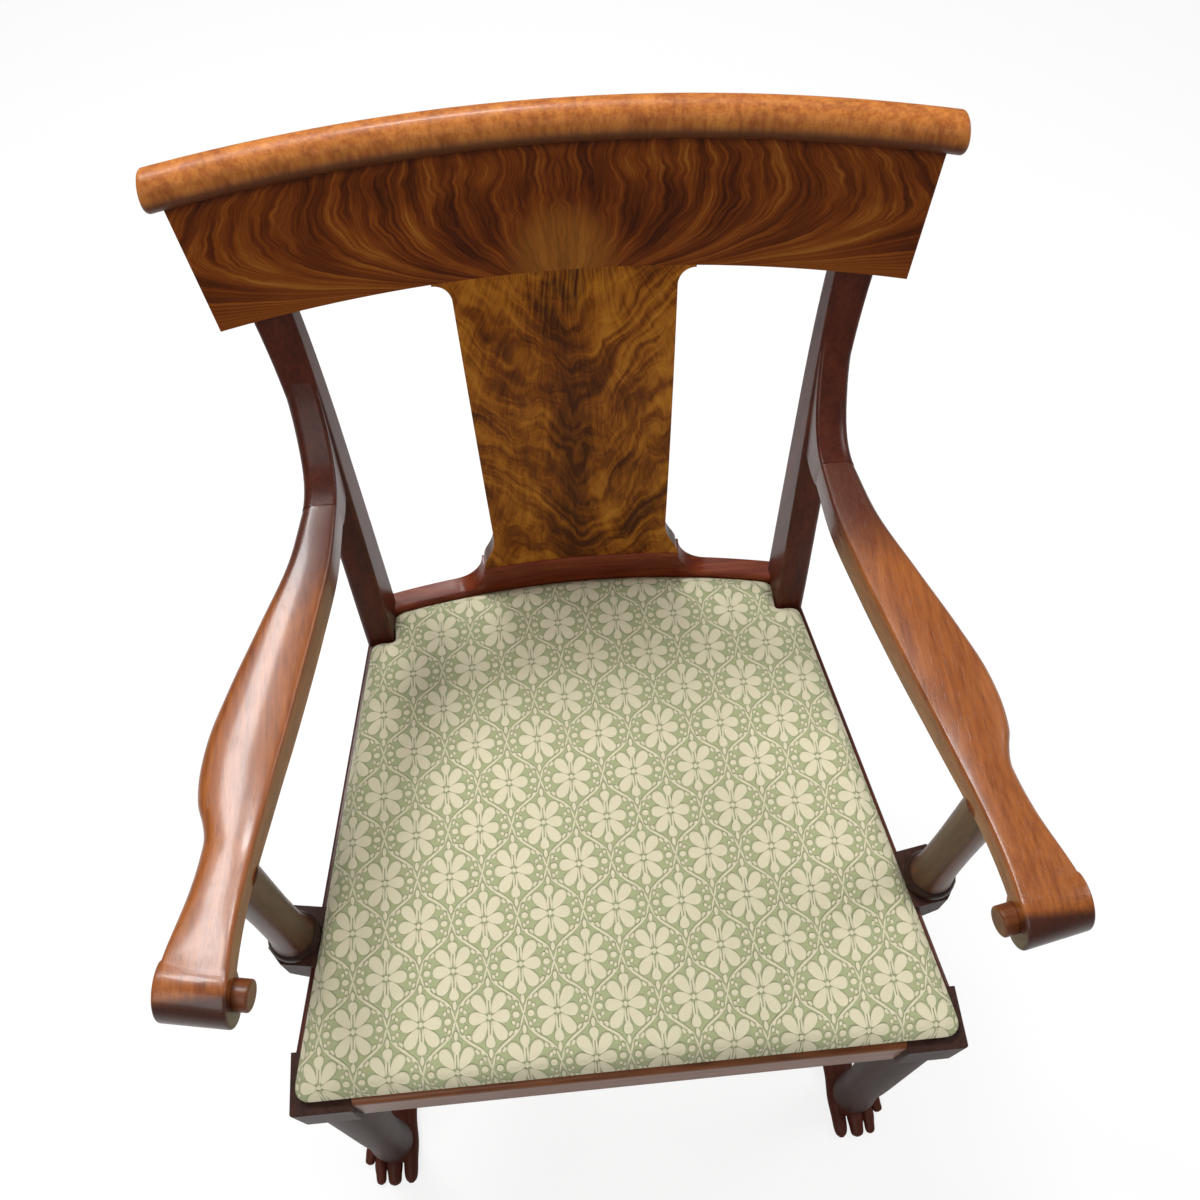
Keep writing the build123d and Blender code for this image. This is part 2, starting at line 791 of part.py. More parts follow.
# Turned arm supports, standing on the brackets and tenoned into the arms
with BuildPart() as arm_support_right:
    with BuildSketch(Plane((support_x, support_y, support_base), x_dir=(1, 0, 0), z_dir=(0, -1, 0))):
        with BuildLine():
            ring_top = support_ring_height
            ring_lip = support_ring_radius - support_ring_edge
            Line((0, 0), (ring_lip, 0))
            ThreePointArc((ring_lip, 0), (support_ring_radius, ring_top / 2), (ring_lip, ring_top))
            Line((ring_lip, ring_top), (support_radius + support_ring_edge, ring_top))
            Spline(
                (support_radius + support_ring_edge, ring_top),
                (support_waist, support_height / 2),
                (support_radius, support_height + support_tenon / 2),
            )
            Polyline(
                (support_radius, support_height + support_tenon / 2),
                (0, support_height + support_tenon / 2),
                (0, 0),
            )
        make_face()
    revolve(axis=Axis((support_x, support_y, 0), (0, 0, 1)))
    add(arm_right_cut.part, mode=Mode.SUBTRACT)
    with BuildSketch(Plane((support_x, support_y, support_base))):
        Circle(support_tenon_radius)
    extrude(amount=support_height + support_tenon - joint_gap)

# Brackets outside the side rails that carry the supports
outward = Vector(rail_cos, -sin(radians(rail_turn)), 0)
bracket_foot = Vector(rail_x(support_y), support_y, 0)
bracket_side = Plane(bracket_foot, x_dir=outward, z_dir=(outward.Y, -outward.X, 0))
bracket_plan = Plane(bracket_foot, x_dir=outward)
bracket_screw_level = rail_bottom + rail_height / 2
with BuildPart() as arm_support_bracket_right:
    with BuildSketch(bracket_side):
        with BuildLine():
            bracket_low = rail_top - bracket_drop
            Polyline(
                (0, bracket_low),
                (0, rail_top),
                (-bracket_lap, rail_top),
                (-bracket_lap, support_base),
                (bracket_reach, support_base),
                (bracket_reach, support_base - bracket_face),
            )
            Spline(
                (bracket_reach, support_base - bracket_face),
                (bracket_reach * 0.6, (bracket_low + support_base - bracket_face) / 2 - 2),
                (0, bracket_low),
                tangents=((-0.3, -1), (-1, -0.5)),
            )
        make_face()
    extrude(amount=bracket_length / 2, both=True)
    with BuildSketch(bracket_plan):
        with BuildLine():
            half = bracket_length / 2
            Polyline(
                (-bracket_lap, -half),
                (bracket_reach - bracket_chamfer, -half),
                (bracket_reach, bracket_chamfer - half),
                (bracket_reach, half - bracket_chamfer),
                (bracket_reach - bracket_chamfer, half),
                (-bracket_lap, half),
                close=True,
            )
        make_face()
    extrude(amount=crest_bottom, mode=Mode.INTERSECT)


def side_screw(y, level, start, length, radius, head):
    """Screw driven outward, square to the right side rail, from a distance inside its outer face."""
    origin = Vector(rail_x(y), y, level) - outward * start
    with BuildPart() as screw:
        with BuildSketch(Plane(origin, z_dir=outward)):
            Circle(radius)
        extrude(amount=length)
        with BuildSketch(Plane(origin, z_dir=outward)):
            Circle(head)
        extrude(amount=radius)
    return screw.part


with BuildPart() as bracket_screws_right:
    for spread in (-bracket_screw_spread, bracket_screw_spread):
        add(
            side_screw(
                support_y + spread,
                bracket_screw_level,
                side_rail_thickness,
                bracket_screw_length,
                bracket_screw_radius,
                bracket_screw_head,
            )
        )

with BuildPart() as arm_support_bracket_holed:
    add(arm_support_bracket_right.part)
    add(bracket_screws_right.part, mode=Mode.SUBTRACT)

with BuildPart() as bracket_screws:
    add(bracket_screws_right.part)
    mirror(bracket_screws_right.part, about=Plane.YZ)

save(arm_support_right, "arm_support_right")
save(twin(arm_support_right), "arm_support_left")
save(arm_support_bracket_holed, "arm_support_bracket_right")
save(twin(arm_support_bracket_holed), "arm_support_bracket_left")
save(bracket_screws, "bracket_screws")


# Corner blocks glued in the angles of the seat rails, each held by a screw into the side rail
block_level = rail_bottom + corner_block_drop
rail_back_face = front_rail_face + front_rail_thickness


def corner_block(near_y, far_y, far_x, neighbours):
    """Block in a right-hand corner: along the side rail from near_y to far_y, then out to far_x."""
    with BuildPart() as block:
        with BuildSketch(Plane.XY.offset(block_level - corner_block_height / 2)):
            with BuildLine():
                Polyline(
                    (rail_x(near_y, side_rail_thickness), near_y),
                    (rail_x(far_y, side_rail_thickness), far_y),
                    (far_x, far_y),
                    close=True,
                )
            make_face()
        extrude(amount=corner_block_height)
        for neighbour in neighbours:
            add(neighbour.part, mode=Mode.SUBTRACT)
    return block


def corner_screw(y, depth):
    """Screw through a right-hand corner block, its head sunk in the block's long face."""
    return side_screw(
        y,
        block_level,
        side_rail_thickness + depth,
        depth + corner_screw_bite,
        corner_screw_radius,
        corner_screw_head,
    )


front_block_y = rail_back_face + corner_block_arm
rear_block_y = post_seat_front - corner_block_arm / 2
front_block = corner_block(
    front_block_y, rail_back_face, rail_half - corner_block_arm / 2, (front_leg_right, front_seat_rail)
)
rear_block = corner_block(
    rear_block_y, rear_rail_front, rear_tenon_x - corner_block_arm, (post_blank, rear_seat_rail)
)
with BuildPart() as corner_screws_right:
    add(corner_screw((rail_back_face + front_block_y) / 2, corner_screw_depth))
    add(corner_screw(rear_block_y + corner_block_arm / 3, corner_screw_depth))

for block, name in ((front_block, "front_corner_block"), (rear_block, "rear_corner_block")):
    with BuildPart() as holed_block:
        add(block.part)
        add(corner_screws_right.part, mode=Mode.SUBTRACT)
    save(holed_block, f"{name}_right")
    save(twin(holed_block), f"{name}_left")

with BuildPart() as corner_block_screws:
    add(corner_screws_right.part)
    mirror(corner_screws_right.part, about=Plane.YZ)
save(corner_block_screws, "corner_block_screws")

with BuildPart() as side_rail_holed:
    add(side_rail_right.part)
    add(bracket_screws_right.part, mode=Mode.SUBTRACT)
    add(corner_screws_right.part, mode=Mode.SUBTRACT)
save(side_rail_holed, "side_rail_right")
save(twin(side_rail_holed), "side_rail_left")


# Drop-in seat: lapped beech frame, webbing, hessian, stuffing and cover
cover_low = ledge + rest_gap
frame_low = cover_low + cover
frame_top = frame_low + seat_bar_height
frame_inset = seat_gap + cover
seat_front = front_rail_face + front_lip + frame_inset
bar_front_back = seat_front + seat_bar_width
bar_rear_front = rear_rail_front - frame_inset - seat_bar_width - recess_depth
lap_level = frame_low + seat_bar_height / 2


def plan_zone(low, high, outline):
    """Upright solid on an outline of plan points between two levels."""
    with BuildPart() as zone:
        with BuildSketch(Plane.XY.offset(low)):
            with BuildLine():
                Polyline(*outline, close=True)
            make_face()
        extrude(amount=high - low)
    return zone.part


def band(near_y, far_y):
    """Plan points of a strip right across the chair between two y values."""
    return ((-back_reach, near_y), (back_reach, near_y), (back_reach, far_y), (-back_reach, far_y))


side_strip = (
    (rail_x(seat_front, side_lip + seat_bar_width), seat_front),
    (back_reach, seat_front),
    (back_reach, rear_rail_front),
    (rail_x(rear_rail_front, side_lip + seat_bar_width), rear_rail_front),
)
with BuildPart() as frame_blank:
    extrude(recess_outline(frame_low, frame_inset), amount=seat_bar_height)

lower_side = plan_zone(frame_low, lap_level, side_strip)
lower_sides = (lower_side, mirror(lower_side, about=Plane.YZ, mode=Mode.PRIVATE))
cross_bars = {
    "seat_frame_front": band(seat_front - recess_depth, bar_front_back),
    "seat_frame_rear": band(bar_rear_front, rear_rail_front + recess_depth),
}
for name, strip in cross_bars.items():
    with BuildPart() as cross_bar:
        add(frame_blank.part)
        add(plan_zone(frame_low, frame_top, strip), mode=Mode.INTERSECT)
        for side in lower_sides:
            add(side, mode=Mode.SUBTRACT)
    save(cross_bar, name)

with BuildPart() as seat_frame_right:
    add(frame_blank.part)
    add(plan_zone(frame_low, frame_top, side_strip), mode=Mode.INTERSECT)
    for strip in cross_bars.values():
        add(plan_zone(lap_level, frame_top, strip), mode=Mode.SUBTRACT)
save(seat_frame_right, "seat_frame_right")
save(twin(seat_frame_right), "seat_frame_left")

# Webbing in two layers over the frame, and the hessian on it
web_front = seat_front + hessian_margin
web_rear = bar_rear_front + seat_bar_width - hessian_margin
web_middle = (web_front + web_rear) / 2
with BuildPart() as webbing_lengthwise:
    with BuildSketch(Plane.XY.offset(frame_top)):
        with GridLocations(web_spacing, 1, web_count, 1):
            with Locations((0, web_middle)):
                Rectangle(web_width, web_rear - web_front)
    extrude(amount=web_thickness)
save(webbing_lengthwise, "webbing_lengthwise")

with BuildPart() as webbing_crosswise:
    for row in range(web_count):
        row_y = web_middle + (row - (web_count - 1) / 2) * web_spacing
        reach = rail_x(row_y + web_width / 2, side_lip + hessian_margin)
        with BuildSketch(Plane.XY.offset(frame_top + web_thickness)):
            with Locations((0, row_y)):
                Rectangle(2 * reach, web_width)
        extrude(amount=web_thickness)
save(webbing_crosswise, "webbing_crosswise")

web_top = frame_top + 2 * web_thickness
with BuildPart() as hessian:
    extrude(recess_outline(web_top, frame_inset + hessian_margin), amount=hessian_thickness)
save(hessian, "hessian")


# Stuffing and cover share one crowned form with rounded shoulders and drawn-in sides
def cushion(low, inset):
    """Crowned solid on the recess outline, drawn in by inset, from a level up to the crown."""
    crown = seat_crown - inset + seat_gap
    with BuildPart() as form:
        extrude(recess_outline(low, inset), amount=crown - low)
        with Locations((0, (seat_front + rear_rail_front) / 2, crown - seat_crown_radius)):
            Sphere(seat_crown_radius, mode=Mode.INTERSECT)
        top_face = form.faces().sort_by(Axis.Z)[-1]
        fillet(top_face.edges(), seat_shoulder - inset)
    return form


with BuildPart() as seat_cover:
    add(cushion(cover_low, seat_gap).part)
    add(cushion(frame_low, frame_inset).part, mode=Mode.SUBTRACT)
    extrude(recess_outline(cover_low, frame_inset + hem_width), amount=cover, mode=Mode.SUBTRACT)
save(seat_cover, "seat_cover")

stuffing_hollow = 2 * web_thickness + hessian_thickness
with BuildPart() as seat_stuffing:
    add(cushion(frame_top, frame_inset).part)
    extrude(
        recess_outline(frame_top, frame_inset + stuffing_margin),
        amount=stuffing_hollow,
        mode=Mode.SUBTRACT,
    )
save(seat_stuffing, "seat_stuffing")

# Tacks that hold the cover's hem under the seat frame
tack_front_y = seat_front + tack_inset
tack_rear_y = bar_rear_front + seat_bar_width / 2
tack_places = []
for place in range(tacks_across):
    share = 2 * place / (tacks_across - 1) - 1
    tack_places.append((share * tack_half_front, tack_front_y))
    tack_places.append((share * tack_half_rear, tack_rear_y))
for place in range(tacks_along):
    tack_y = tack_side_start + place * tack_side_pitch
    tack_x = rail_x(tack_y, side_lip + frame_inset + tack_inset)
    tack_places.append((tack_x, tack_y))
    tack_places.append((-tack_x, tack_y))
with BuildPart() as cover_tacks:
    with BuildSketch(Plane.XY.offset(cover_low - tack_head)):
        with Locations(*tack_places):
            Circle(tack_head_radius)
    extrude(amount=tack_head)
    with BuildSketch(Plane.XY.offset(cover_low)):
        with Locations(*tack_places):
            Circle(tack_shank_radius)
    extrude(amount=tack_shank)
save(cover_tacks, "cover_tacks")
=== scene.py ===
"""Looks of an open mahogany armchair with a figured tablet back and a drop-in seat.

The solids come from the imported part. This script dresses them, replaces the soft and the carved
ones with finer surfaces, and sets up the studio. Finishes, seat and studio are in metres. Arms,
legs, columns and the rear rail are drawn in millimetres and turned into metres at the end.
"""

import json
import logging
import math
from dataclasses import dataclass, field
from enum import Enum
from typing import Any, NamedTuple, Sequence

import bpy
import numpy as np
from mathutils import Matrix, Vector

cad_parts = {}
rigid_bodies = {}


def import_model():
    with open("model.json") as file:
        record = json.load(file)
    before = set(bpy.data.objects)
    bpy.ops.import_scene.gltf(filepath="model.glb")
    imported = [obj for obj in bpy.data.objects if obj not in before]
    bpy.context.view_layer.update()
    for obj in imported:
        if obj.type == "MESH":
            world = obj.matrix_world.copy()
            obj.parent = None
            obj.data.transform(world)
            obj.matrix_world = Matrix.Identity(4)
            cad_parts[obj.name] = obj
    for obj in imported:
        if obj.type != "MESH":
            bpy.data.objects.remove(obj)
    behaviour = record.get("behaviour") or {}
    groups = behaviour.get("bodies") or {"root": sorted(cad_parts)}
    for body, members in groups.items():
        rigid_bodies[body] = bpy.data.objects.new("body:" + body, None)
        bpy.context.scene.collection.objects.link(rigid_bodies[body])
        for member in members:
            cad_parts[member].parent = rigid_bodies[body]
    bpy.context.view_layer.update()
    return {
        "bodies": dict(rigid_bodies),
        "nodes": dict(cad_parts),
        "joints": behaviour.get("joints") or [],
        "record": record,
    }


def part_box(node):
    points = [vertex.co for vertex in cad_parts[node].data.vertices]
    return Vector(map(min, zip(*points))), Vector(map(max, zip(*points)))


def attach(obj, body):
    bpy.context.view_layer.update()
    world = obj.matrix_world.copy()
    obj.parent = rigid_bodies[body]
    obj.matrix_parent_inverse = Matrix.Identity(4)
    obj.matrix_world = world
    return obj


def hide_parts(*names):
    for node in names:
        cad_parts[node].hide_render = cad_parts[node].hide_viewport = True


log = logging.getLogger("armchair")
MM = 0.001
FULL_TURN = 2 * math.pi
FRAME_BODY = "chair_frame"
SEAT_BODY = "drop_in_seat"

# A plain number, a colour or a Value.
Number = Any
Colour = tuple[float, float, float, float]
# Points, one row of three each, and faces as lists of point numbers.
Shell = tuple[np.ndarray, list[list[int]]]


class Side(Enum):
    """Which side of the chair, by the sign of X."""

    RIGHT = 1.0
    LEFT = -1.0

    @property
    def word(self) -> str:
        """Name of the side as the nodes spell it."""
        return self.name.lower()


class Grain(Enum):
    """Axis that the fibres of a piece run along."""

    ACROSS = 0
    DEEP = 1
    UPRIGHT = 2


class Figure(Enum):
    """Figured veneers of the back."""

    CREST = "crest"
    SPLAT = "splat"


def colour(code: str) -> Colour:
    """Turn a hexadecimal screen colour into linear light.

    Args:
        code: six hexadecimal digits.

    Returns:
        Linear red, green, blue and an alpha of 1.
    """
    parts = [int(code[i : i + 2], 16) / 255 for i in (0, 2, 4)]
    linear = [c / 12.92 if c <= 0.04045 else ((c + 0.055) / 1.055) ** 2.4 for c in parts]
    return (linear[0], linear[1], linear[2], 1.0)


class Value:
    """A number that varies over a surface; arithmetic on it adds Math nodes."""

    def __init__(self, nodes: "Nodes", socket: bpy.types.NodeSocket) -> None:
        """Wrap an output socket of a tree."""
        self.nodes = nodes
        self.socket = socket

    def math(self, operation: str, *others: Number) -> "Value":
        """Math node with this value first.

        Args:
            operation: the node's operation.
            others: further operands, numbers or values.

        Returns:
            The node's result.
        """
        return self.nodes.node("ShaderNodeMath", {"operation": operation}, [self, *others])

    def __add__(self, other: Number) -> "Value":
        """Sum, in either order."""
        return self.math("ADD", other)

    def __sub__(self, other: Number) -> "Value":
        """Difference."""
        return self.math("SUBTRACT", other)

    def __rsub__(self, other: Number) -> "Value":
        """Difference from a plain number."""
        return self.nodes.node("ShaderNodeMath", {"operation": "SUBTRACT"}, [other, self])

    def __mul__(self, other: Number) -> "Value":
        """Product, in either order."""
        return self.math("MULTIPLY", other)

    def __truediv__(self, other: Number) -> "Value":
        """Quotient."""
        return self.math("DIVIDE", other)

    def __pow__(self, other: Number) -> "Value":
        """Power."""
        return self.math("POWER", other)

    def __abs__(self) -> "Value":
        """Size without sign."""
        return self.math("ABSOLUTE")

    __radd__ = __add__
    __rmul__ = __mul__

    def step(self, low: float, high: float) -> "Value":
        """Smooth step from 0 to 1, or down from 1 where low is the larger.

        Args:
            low: where it is 0.
            high: where it is 1.

        Returns:
            The step.
        """
        if low > high:
            return 1.0 - self.step(high, low)
        settings = {"interpolation_type": "SMOOTHSTEP", "clamp": True}
        sockets = {0: self, 1: low, 2: high, 3: 0.0, 4: 1.0}
        return self.nodes.node("ShaderNodeMapRange", settings, sockets)


class Nodes:
    """A node tree, whose nodes all come from one method."""

    def __init__(self, tree: bpy.types.NodeTree) -> None:
        """Wrap a tree."""
        self.tree = tree

    def node(
        self,
        kind: str,
        settings: dict[str, Any],
        inputs: Sequence[Number] | dict[Any, Number],
        output: int | str = 0,
    ) -> Value:
        """Add a node.

        Args:
            kind: the node's type.
            settings: properties set before the sockets; "stops" fills a colour ramp.
            inputs: values or links, by place or by socket name.
            output: which output to return.

        Returns:
            The chosen output, wrapped.
        """
        made = self.tree.nodes.new(kind)
        for key, setting in settings.items():
            if key == "stops":
                self._stops(made.color_ramp, setting)
            else:
                setattr(made, key, setting)
        pairs = inputs.items() if isinstance(inputs, dict) else enumerate(inputs)
        for key, given in pairs:
            self.feed(made.inputs[key], given)
        return Value(self, made.outputs[output])

    def _stops(self, ramp: bpy.types.ColorRamp, stops: Sequence[tuple[float, str]]) -> None:
        """Fill a colour ramp with places and hexadecimal colours, from left to right.

        Args:
            ramp: the ramp.
            stops: place and colour of each stop.
        """
        while len(ramp.elements) < len(stops):
            ramp.elements.new(1.0)
        for element, (place, code) in zip(ramp.elements, stops):
            element.position = place
            element.color = colour(code)

    def feed(self, socket: bpy.types.NodeSocket, given: Number) -> None:
        """Link a value to a socket, or set a constant on it.

        Args:
            socket: the input.
            given: a value, a number, a linear colour or a hexadecimal colour.
        """
        if isinstance(given, Value):
            self.tree.links.new(given.socket, socket)
        else:
            socket.default_value = colour(given) if isinstance(given, str) else given


class Recipe(Nodes):
    """The node tree of one material."""

    def __init__(self, name: str) -> None:
        """Start a material with a Principled shader.

        Args:
            name: the material's name.
        """
        self.material = bpy.data.materials.new(name)
        self.material.use_nodes = True
        super().__init__(self.material.node_tree)
        self.shader = self.tree.nodes["Principled BSDF"]

    def place(self) -> tuple[Value, Value, Value]:
        """Object coordinates as three values."""
        return self.split(self.node("ShaderNodeTexCoord", {}, {}, "Object"))

    def split(self, vector: Value) -> tuple[Value, Value, Value]:
        """Three components of a vector."""
        x, y, z = self.node("ShaderNodeSeparateXYZ", {}, [vector]).socket.node.outputs
        return Value(self, x), Value(self, y), Value(self, z)

    def join(self, x: Number, y: Number, z: Number) -> Value:
        """Vector from three values."""
        return self.node("ShaderNodeCombineXYZ", {}, [x, y, z])

    def noise(self, vector: Value, scale: float, detail: float = 3.0, rough: float = 0.5) -> Value:
        """Soft noise from 0 to 1 at a vector."""
        sockets = {"Vector": vector, "Scale": scale, "Detail": detail, "Roughness": rough}
        return self.node("ShaderNodeTexNoise", {"noise_dimensions": "3D"}, sockets)

    def mottle(self, x: Number, y: Number, z: Number, detail: float = 2.0, rough: float = 0.5) -> Value:
        """Soft noise from 0 to 1 at three values, with cells of one unit."""
        return self.noise(self.join(x, y, z), 1.0, detail, rough)

    def ramp(self, factor: Value, *stops: tuple[float, str]) -> Value:
        """Colour from a ramp of places and hexadecimal colours."""
        return self.node("ShaderNodeValToRGB", {"stops": stops}, {0: factor})

    def blend(self, factor: Number, under: Number, over: Number, mode: str = "MIX") -> Value:
        """Mix of two colours."""
        settings = {"data_type": "RGBA", "blend_type": mode}
        return self.node("ShaderNodeMix", settings, {0: factor, 6: under, 7: over}, 2)

    def bump(self, height: Value, depth: float, soft_edge: float = 0.0) -> None:
        """Raise the surface by a height.

        Args:
            height: the height, from about 0 to 1.
            depth: rise for a height of 1.
            soft_edge: radius of the edges in the shading, 0 for none.
        """
        sockets: dict[Any, Number] = {"Height": height, "Strength": 1.0, "Distance": depth}
        if soft_edge:
            sockets["Normal"] = self.node("ShaderNodeBevel", {"samples": 4}, {"Radius": soft_edge})
        self.set("Normal", self.node("ShaderNodeBump", {}, sockets))

    def set(self, socket: str, given: Number) -> None:
        """Feed an input of the shader."""
        self.feed(self.shader.inputs[socket], given)


@dataclass(frozen=True)
class EndTone:
    """Darker colour towards one end of a piece, along one axis: a stain, or painted shade."""

    tint: str
    axis: Grain
    start: float
    full: float


@dataclass(frozen=True)
class PolishedWood:
    """French-polished mahogany with straight grain, pores and a soft ribbon figure."""

    name: str
    dark: str
    middle: str
    light: str
    grain: Grain
    ribbon: float = 0.35
    gloss: float = 0.28
    coat: float = 0.08
    specular: float = 0.25
    soft_edge: float = 1.2 * MM
    ends: tuple[EndTone, ...] = ()
    pore_stain: float = 0.45
    end_stain_and_shade: float = 0.9
    relief: float = 0.08 * MM

    def material(self) -> bpy.types.Material:
        """Build the finish.

        Returns:
            A material on Object coordinates, stretched along the grain.
        """
        r = Recipe(self.name)
        place = r.place()
        axes = list(place)
        along = axes.pop(self.grain.value)
        first, second = axes
        sway = r.mottle(first * 9.0, second * 9.0, along * 3.0) - 0.5
        fibre = r.join(first + sway * 0.006, second + sway * 0.006, along * 0.045)
        broad = r.noise(fibre, 70.0, 4.0, 0.6)
        fine = r.noise(fibre, 480.0, 3.0, 0.6)
        pores = r.noise(r.join(first, second, along * 0.03), 1500.0, 1.0).step(0.60, 0.72)
        stripes = r.join(first * 6.0, second * 6.0, along + sway * 0.02)
        figure = r.noise(stripes, 38.0, 2.0).step(0.3, 0.75)
        tone = broad * 0.62 + fine * 0.38
        ground = r.ramp(tone, (0.32, self.dark), (0.52, self.middle), (0.70, self.light))
        ribboned = r.blend(figure * self.ribbon, ground, self.light)
        stained = r.blend(pores * self.pore_stain, ribboned, self.dark)
        # Darker ends: stains, and painted shade at the foot of the crest roll.
        for end in self.ends:
            share = place[end.axis.value].step(end.start, end.full)
            stained = r.blend(share * self.end_stain_and_shade, stained, end.tint)
        r.set("Base Color", stained)
        r.set("Roughness", self.gloss + fine * 0.10)
        r.set("Specular IOR Level", self.specular)
        r.set("Coat Weight", self.coat)
        r.set("Coat Roughness", 0.12)
        r.bump(pores * -0.5 + broad * 0.35, self.relief, self.soft_edge)
        return r.material


@dataclass(frozen=True)
class FlameVeneer:
    """Flame figure of the back: streaks along stream lines, in four tones."""

    name: str
    figure: Figure
    dark: str
    middle: str
    light: str
    pale: str
    shadow: str = "2a1006"
    contrast: float = 1.6
    shaded: tuple[float, float] = (0.855, 0.8625)
    crest_low: float = 0.756
    crest_tall: float = 0.108
    crest_spread: float = 0.030
    fan_top: float = 0.90
    relief: float = 0.08 * MM

    def material(self) -> bpy.types.Material:
        """Build the finish, darker at the heights that lie in the bead's shadow.

        Returns:
            A material whose streaks follow the figure's stream lines.
        """
        r = Recipe(self.name)
        x, _, z = r.place()
        draw = self._crest if self.figure is Figure.CREST else self._splat
        tone, glow, hairs = draw(r, x, z)
        stops = ((0.34, self.dark), (0.46, self.middle), (0.56, self.light), (0.70, self.pale))
        ground = r.ramp((tone - 0.5) * self.contrast + 0.5, *stops)
        glowing = r.blend(glow * 0.6, ground, self.pale)
        r.set("Base Color", r.blend(z.step(*self.shaded) * 0.85, glowing, self.shadow))
        r.set("Roughness", 0.26 + hairs * 0.10)
        r.set("Specular IOR Level", 0.14)
        r.set("Coat Weight", 0.05)
        r.set("Coat Roughness", 0.14)
        r.bump(hairs, self.relief)
        return r.material

    def _crest(self, r: Recipe, x: Value, z: Value) -> tuple[Value, Value, Value]:
        """Crest: book-matched streaks that bulge outward and sweep into the seam's foot.

        A streak keeps the ratio of its distance from the seam to a spread. The spread is
        h / (h + 30 mm) at a height h over the lower edge, narrowed again towards the top.

        Args:
            r: the recipe.
            x: signed distance from the seam.
            z: height.

        Returns:
            Tone with painted shade just under the bead, the pale glow at the seam's foot, and the finest
            streaks.
        """
        across = abs(x)
        rise = (z - self.crest_low).math("MAXIMUM", 0.004)
        narrowed = 1.0 - (rise / self.crest_tall) ** 2.0 * 0.32
        spread = rise / (rise + self.crest_spread) * narrowed
        sway = r.mottle(across * 9.0, z * 11.0, 1.0) - 0.5
        ripple = r.mottle(across * 24.0, z * 48.0, 5.0) - 0.5
        uneven = r.mottle(x * 30.0, z * 40.0, 6.0) - 0.5
        flow = across / spread + sway * 0.07 + ripple * 0.026 + uneven * 0.010
        bands = r.mottle(flow * 46.0, rise * 9.0, 0.0, 4.0, 0.6)
        lines = r.mottle(flow * 210.0, rise * 22.0, 3.0, 4.0, 0.65)
        hairs = r.mottle(flow * 900.0, rise * 45.0, 7.0, 3.0, 0.6)
        blotch = r.mottle(x * 13.0, z * 17.0, 9.0, 3.0)
        oval = ((across - 0.066) / 0.030) ** 2.0 + ((z - 0.808) / 0.030) ** 2.0
        foot = (across / 0.042) ** 2.0 + ((z - 0.778) / 0.040) ** 2.0
        lower = z.step(0.800, 0.766) * across.step(0.09, 0.17)
        tone = bands * 0.44 + lines * 0.26 + hairs * 0.14 + blotch * 0.16
        tone = tone + lower * 0.035 - oval.step(1.3, 0.2) * 0.05
        # The last term is painted shade: a darker line just under the bead.
        tone = tone + (0.53 - tone) * lower * 0.55 - z.step(0.850, 0.862) * 0.12
        return tone, foot.step(1.2, 0.1) * (0.35 + lines * 0.8), hairs

    def _splat(self, r: Recipe, x: Value, z: Value) -> tuple[Value, Value, Value]:
        """Splat: fibres fan from above its top, ripples rise outward, a dark plume is in the middle.

        Args:
            r: the recipe.
            x: signed distance from the seam.
            z: height.

        Returns:
            Tone, the pale fan under the crest, and the finest streaks.
        """
        across = abs(x)
        sway = r.mottle(x * 14.0, z * 8.0, 2.0) - 0.5
        ripple = r.mottle(x * 46.0, z * 28.0, 8.0) - 0.5
        fan = x.math("ARCTAN2", self.fan_top - z) + sway * 0.14 + ripple * 0.05
        lines = r.mottle(fan * 60.0, z * 26.0, 3.0, 4.0, 0.65)
        hairs = r.mottle(fan * 300.0, z * 70.0, 7.0, 3.0, 0.6)
        climb = z - across * 0.9 + sway * 0.13 + ripple * 0.034
        flame = r.mottle(climb * 74.0, x * 16.0, 5.0, 3.0, 0.6)
        blotch = r.mottle(x * 30.0, z * 19.0, 4.0, 4.0, 0.6)
        plume = abs(x + sway * 0.06).step(0.040, 0.002) * blotch.step(0.30, 0.58)
        slant = abs(z - 0.500 - (x - 0.02) * 1.1 + ripple * 0.03)
        slash = slant.step(0.010, 0.001) * x.step(0.015, 0.04)
        tone = flame * 0.38 + lines * 0.16 + hairs * 0.14 + blotch * 0.32 - plume * 0.10 - slash * 0.08
        rays = across.step(0.070, 0.02) * z.step(0.715, 0.765) * lines.step(0.42, 0.62)
        flare = x.step(0.02, 0.075) * flame.step(0.45, 0.65)
        return tone, rays * 0.55 + flare * 0.35, hairs


@dataclass(frozen=True)
class BareWood:
    """Unpolished beech."""

    name: str
    dark: str
    light: str
    grain: Grain

    def material(self) -> bpy.types.Material:
        """Build the finish.

        Returns:
            A matt material with fine grain.
        """
        r = Recipe(self.name)
        axes = list(r.place())
        along = axes.pop(self.grain.value)
        fibre = r.noise(r.join(axes[0], axes[1], along * 0.06), 260.0, 4.0, 0.6)
        r.set("Base Color", r.ramp(fibre, (0.35, self.dark), (0.68, self.light)))
        r.set("Roughness", 0.7)
        r.bump(fibre, 0.1 * MM, 0.8 * MM)
        return r.material


@dataclass(frozen=True)
class PlainCloth:
    """Coarse plain weave of one yarn colour, with so many threads to the metre."""

    name: str
    dark: str
    light: str
    threads: float

    def material(self) -> bpy.types.Material:
        """Build the finish.

        Returns:
            A matt material with crossing threads.
        """
        r = Recipe(self.name)
        x, y, z = r.place()
        turn = FULL_TURN * self.threads
        weave = (x * turn).math("SINE") * (y * turn).math("SINE") * 0.5 + 0.5
        tint = r.noise(r.join(x, y, z), 180.0) * 0.5 + weave * 0.5
        r.set("Base Color", r.ramp(tint, (0.25, self.dark), (0.75, self.light)))
        r.set("Roughness", 0.9)
        r.bump(weave, 0.4 * MM)
        return r.material


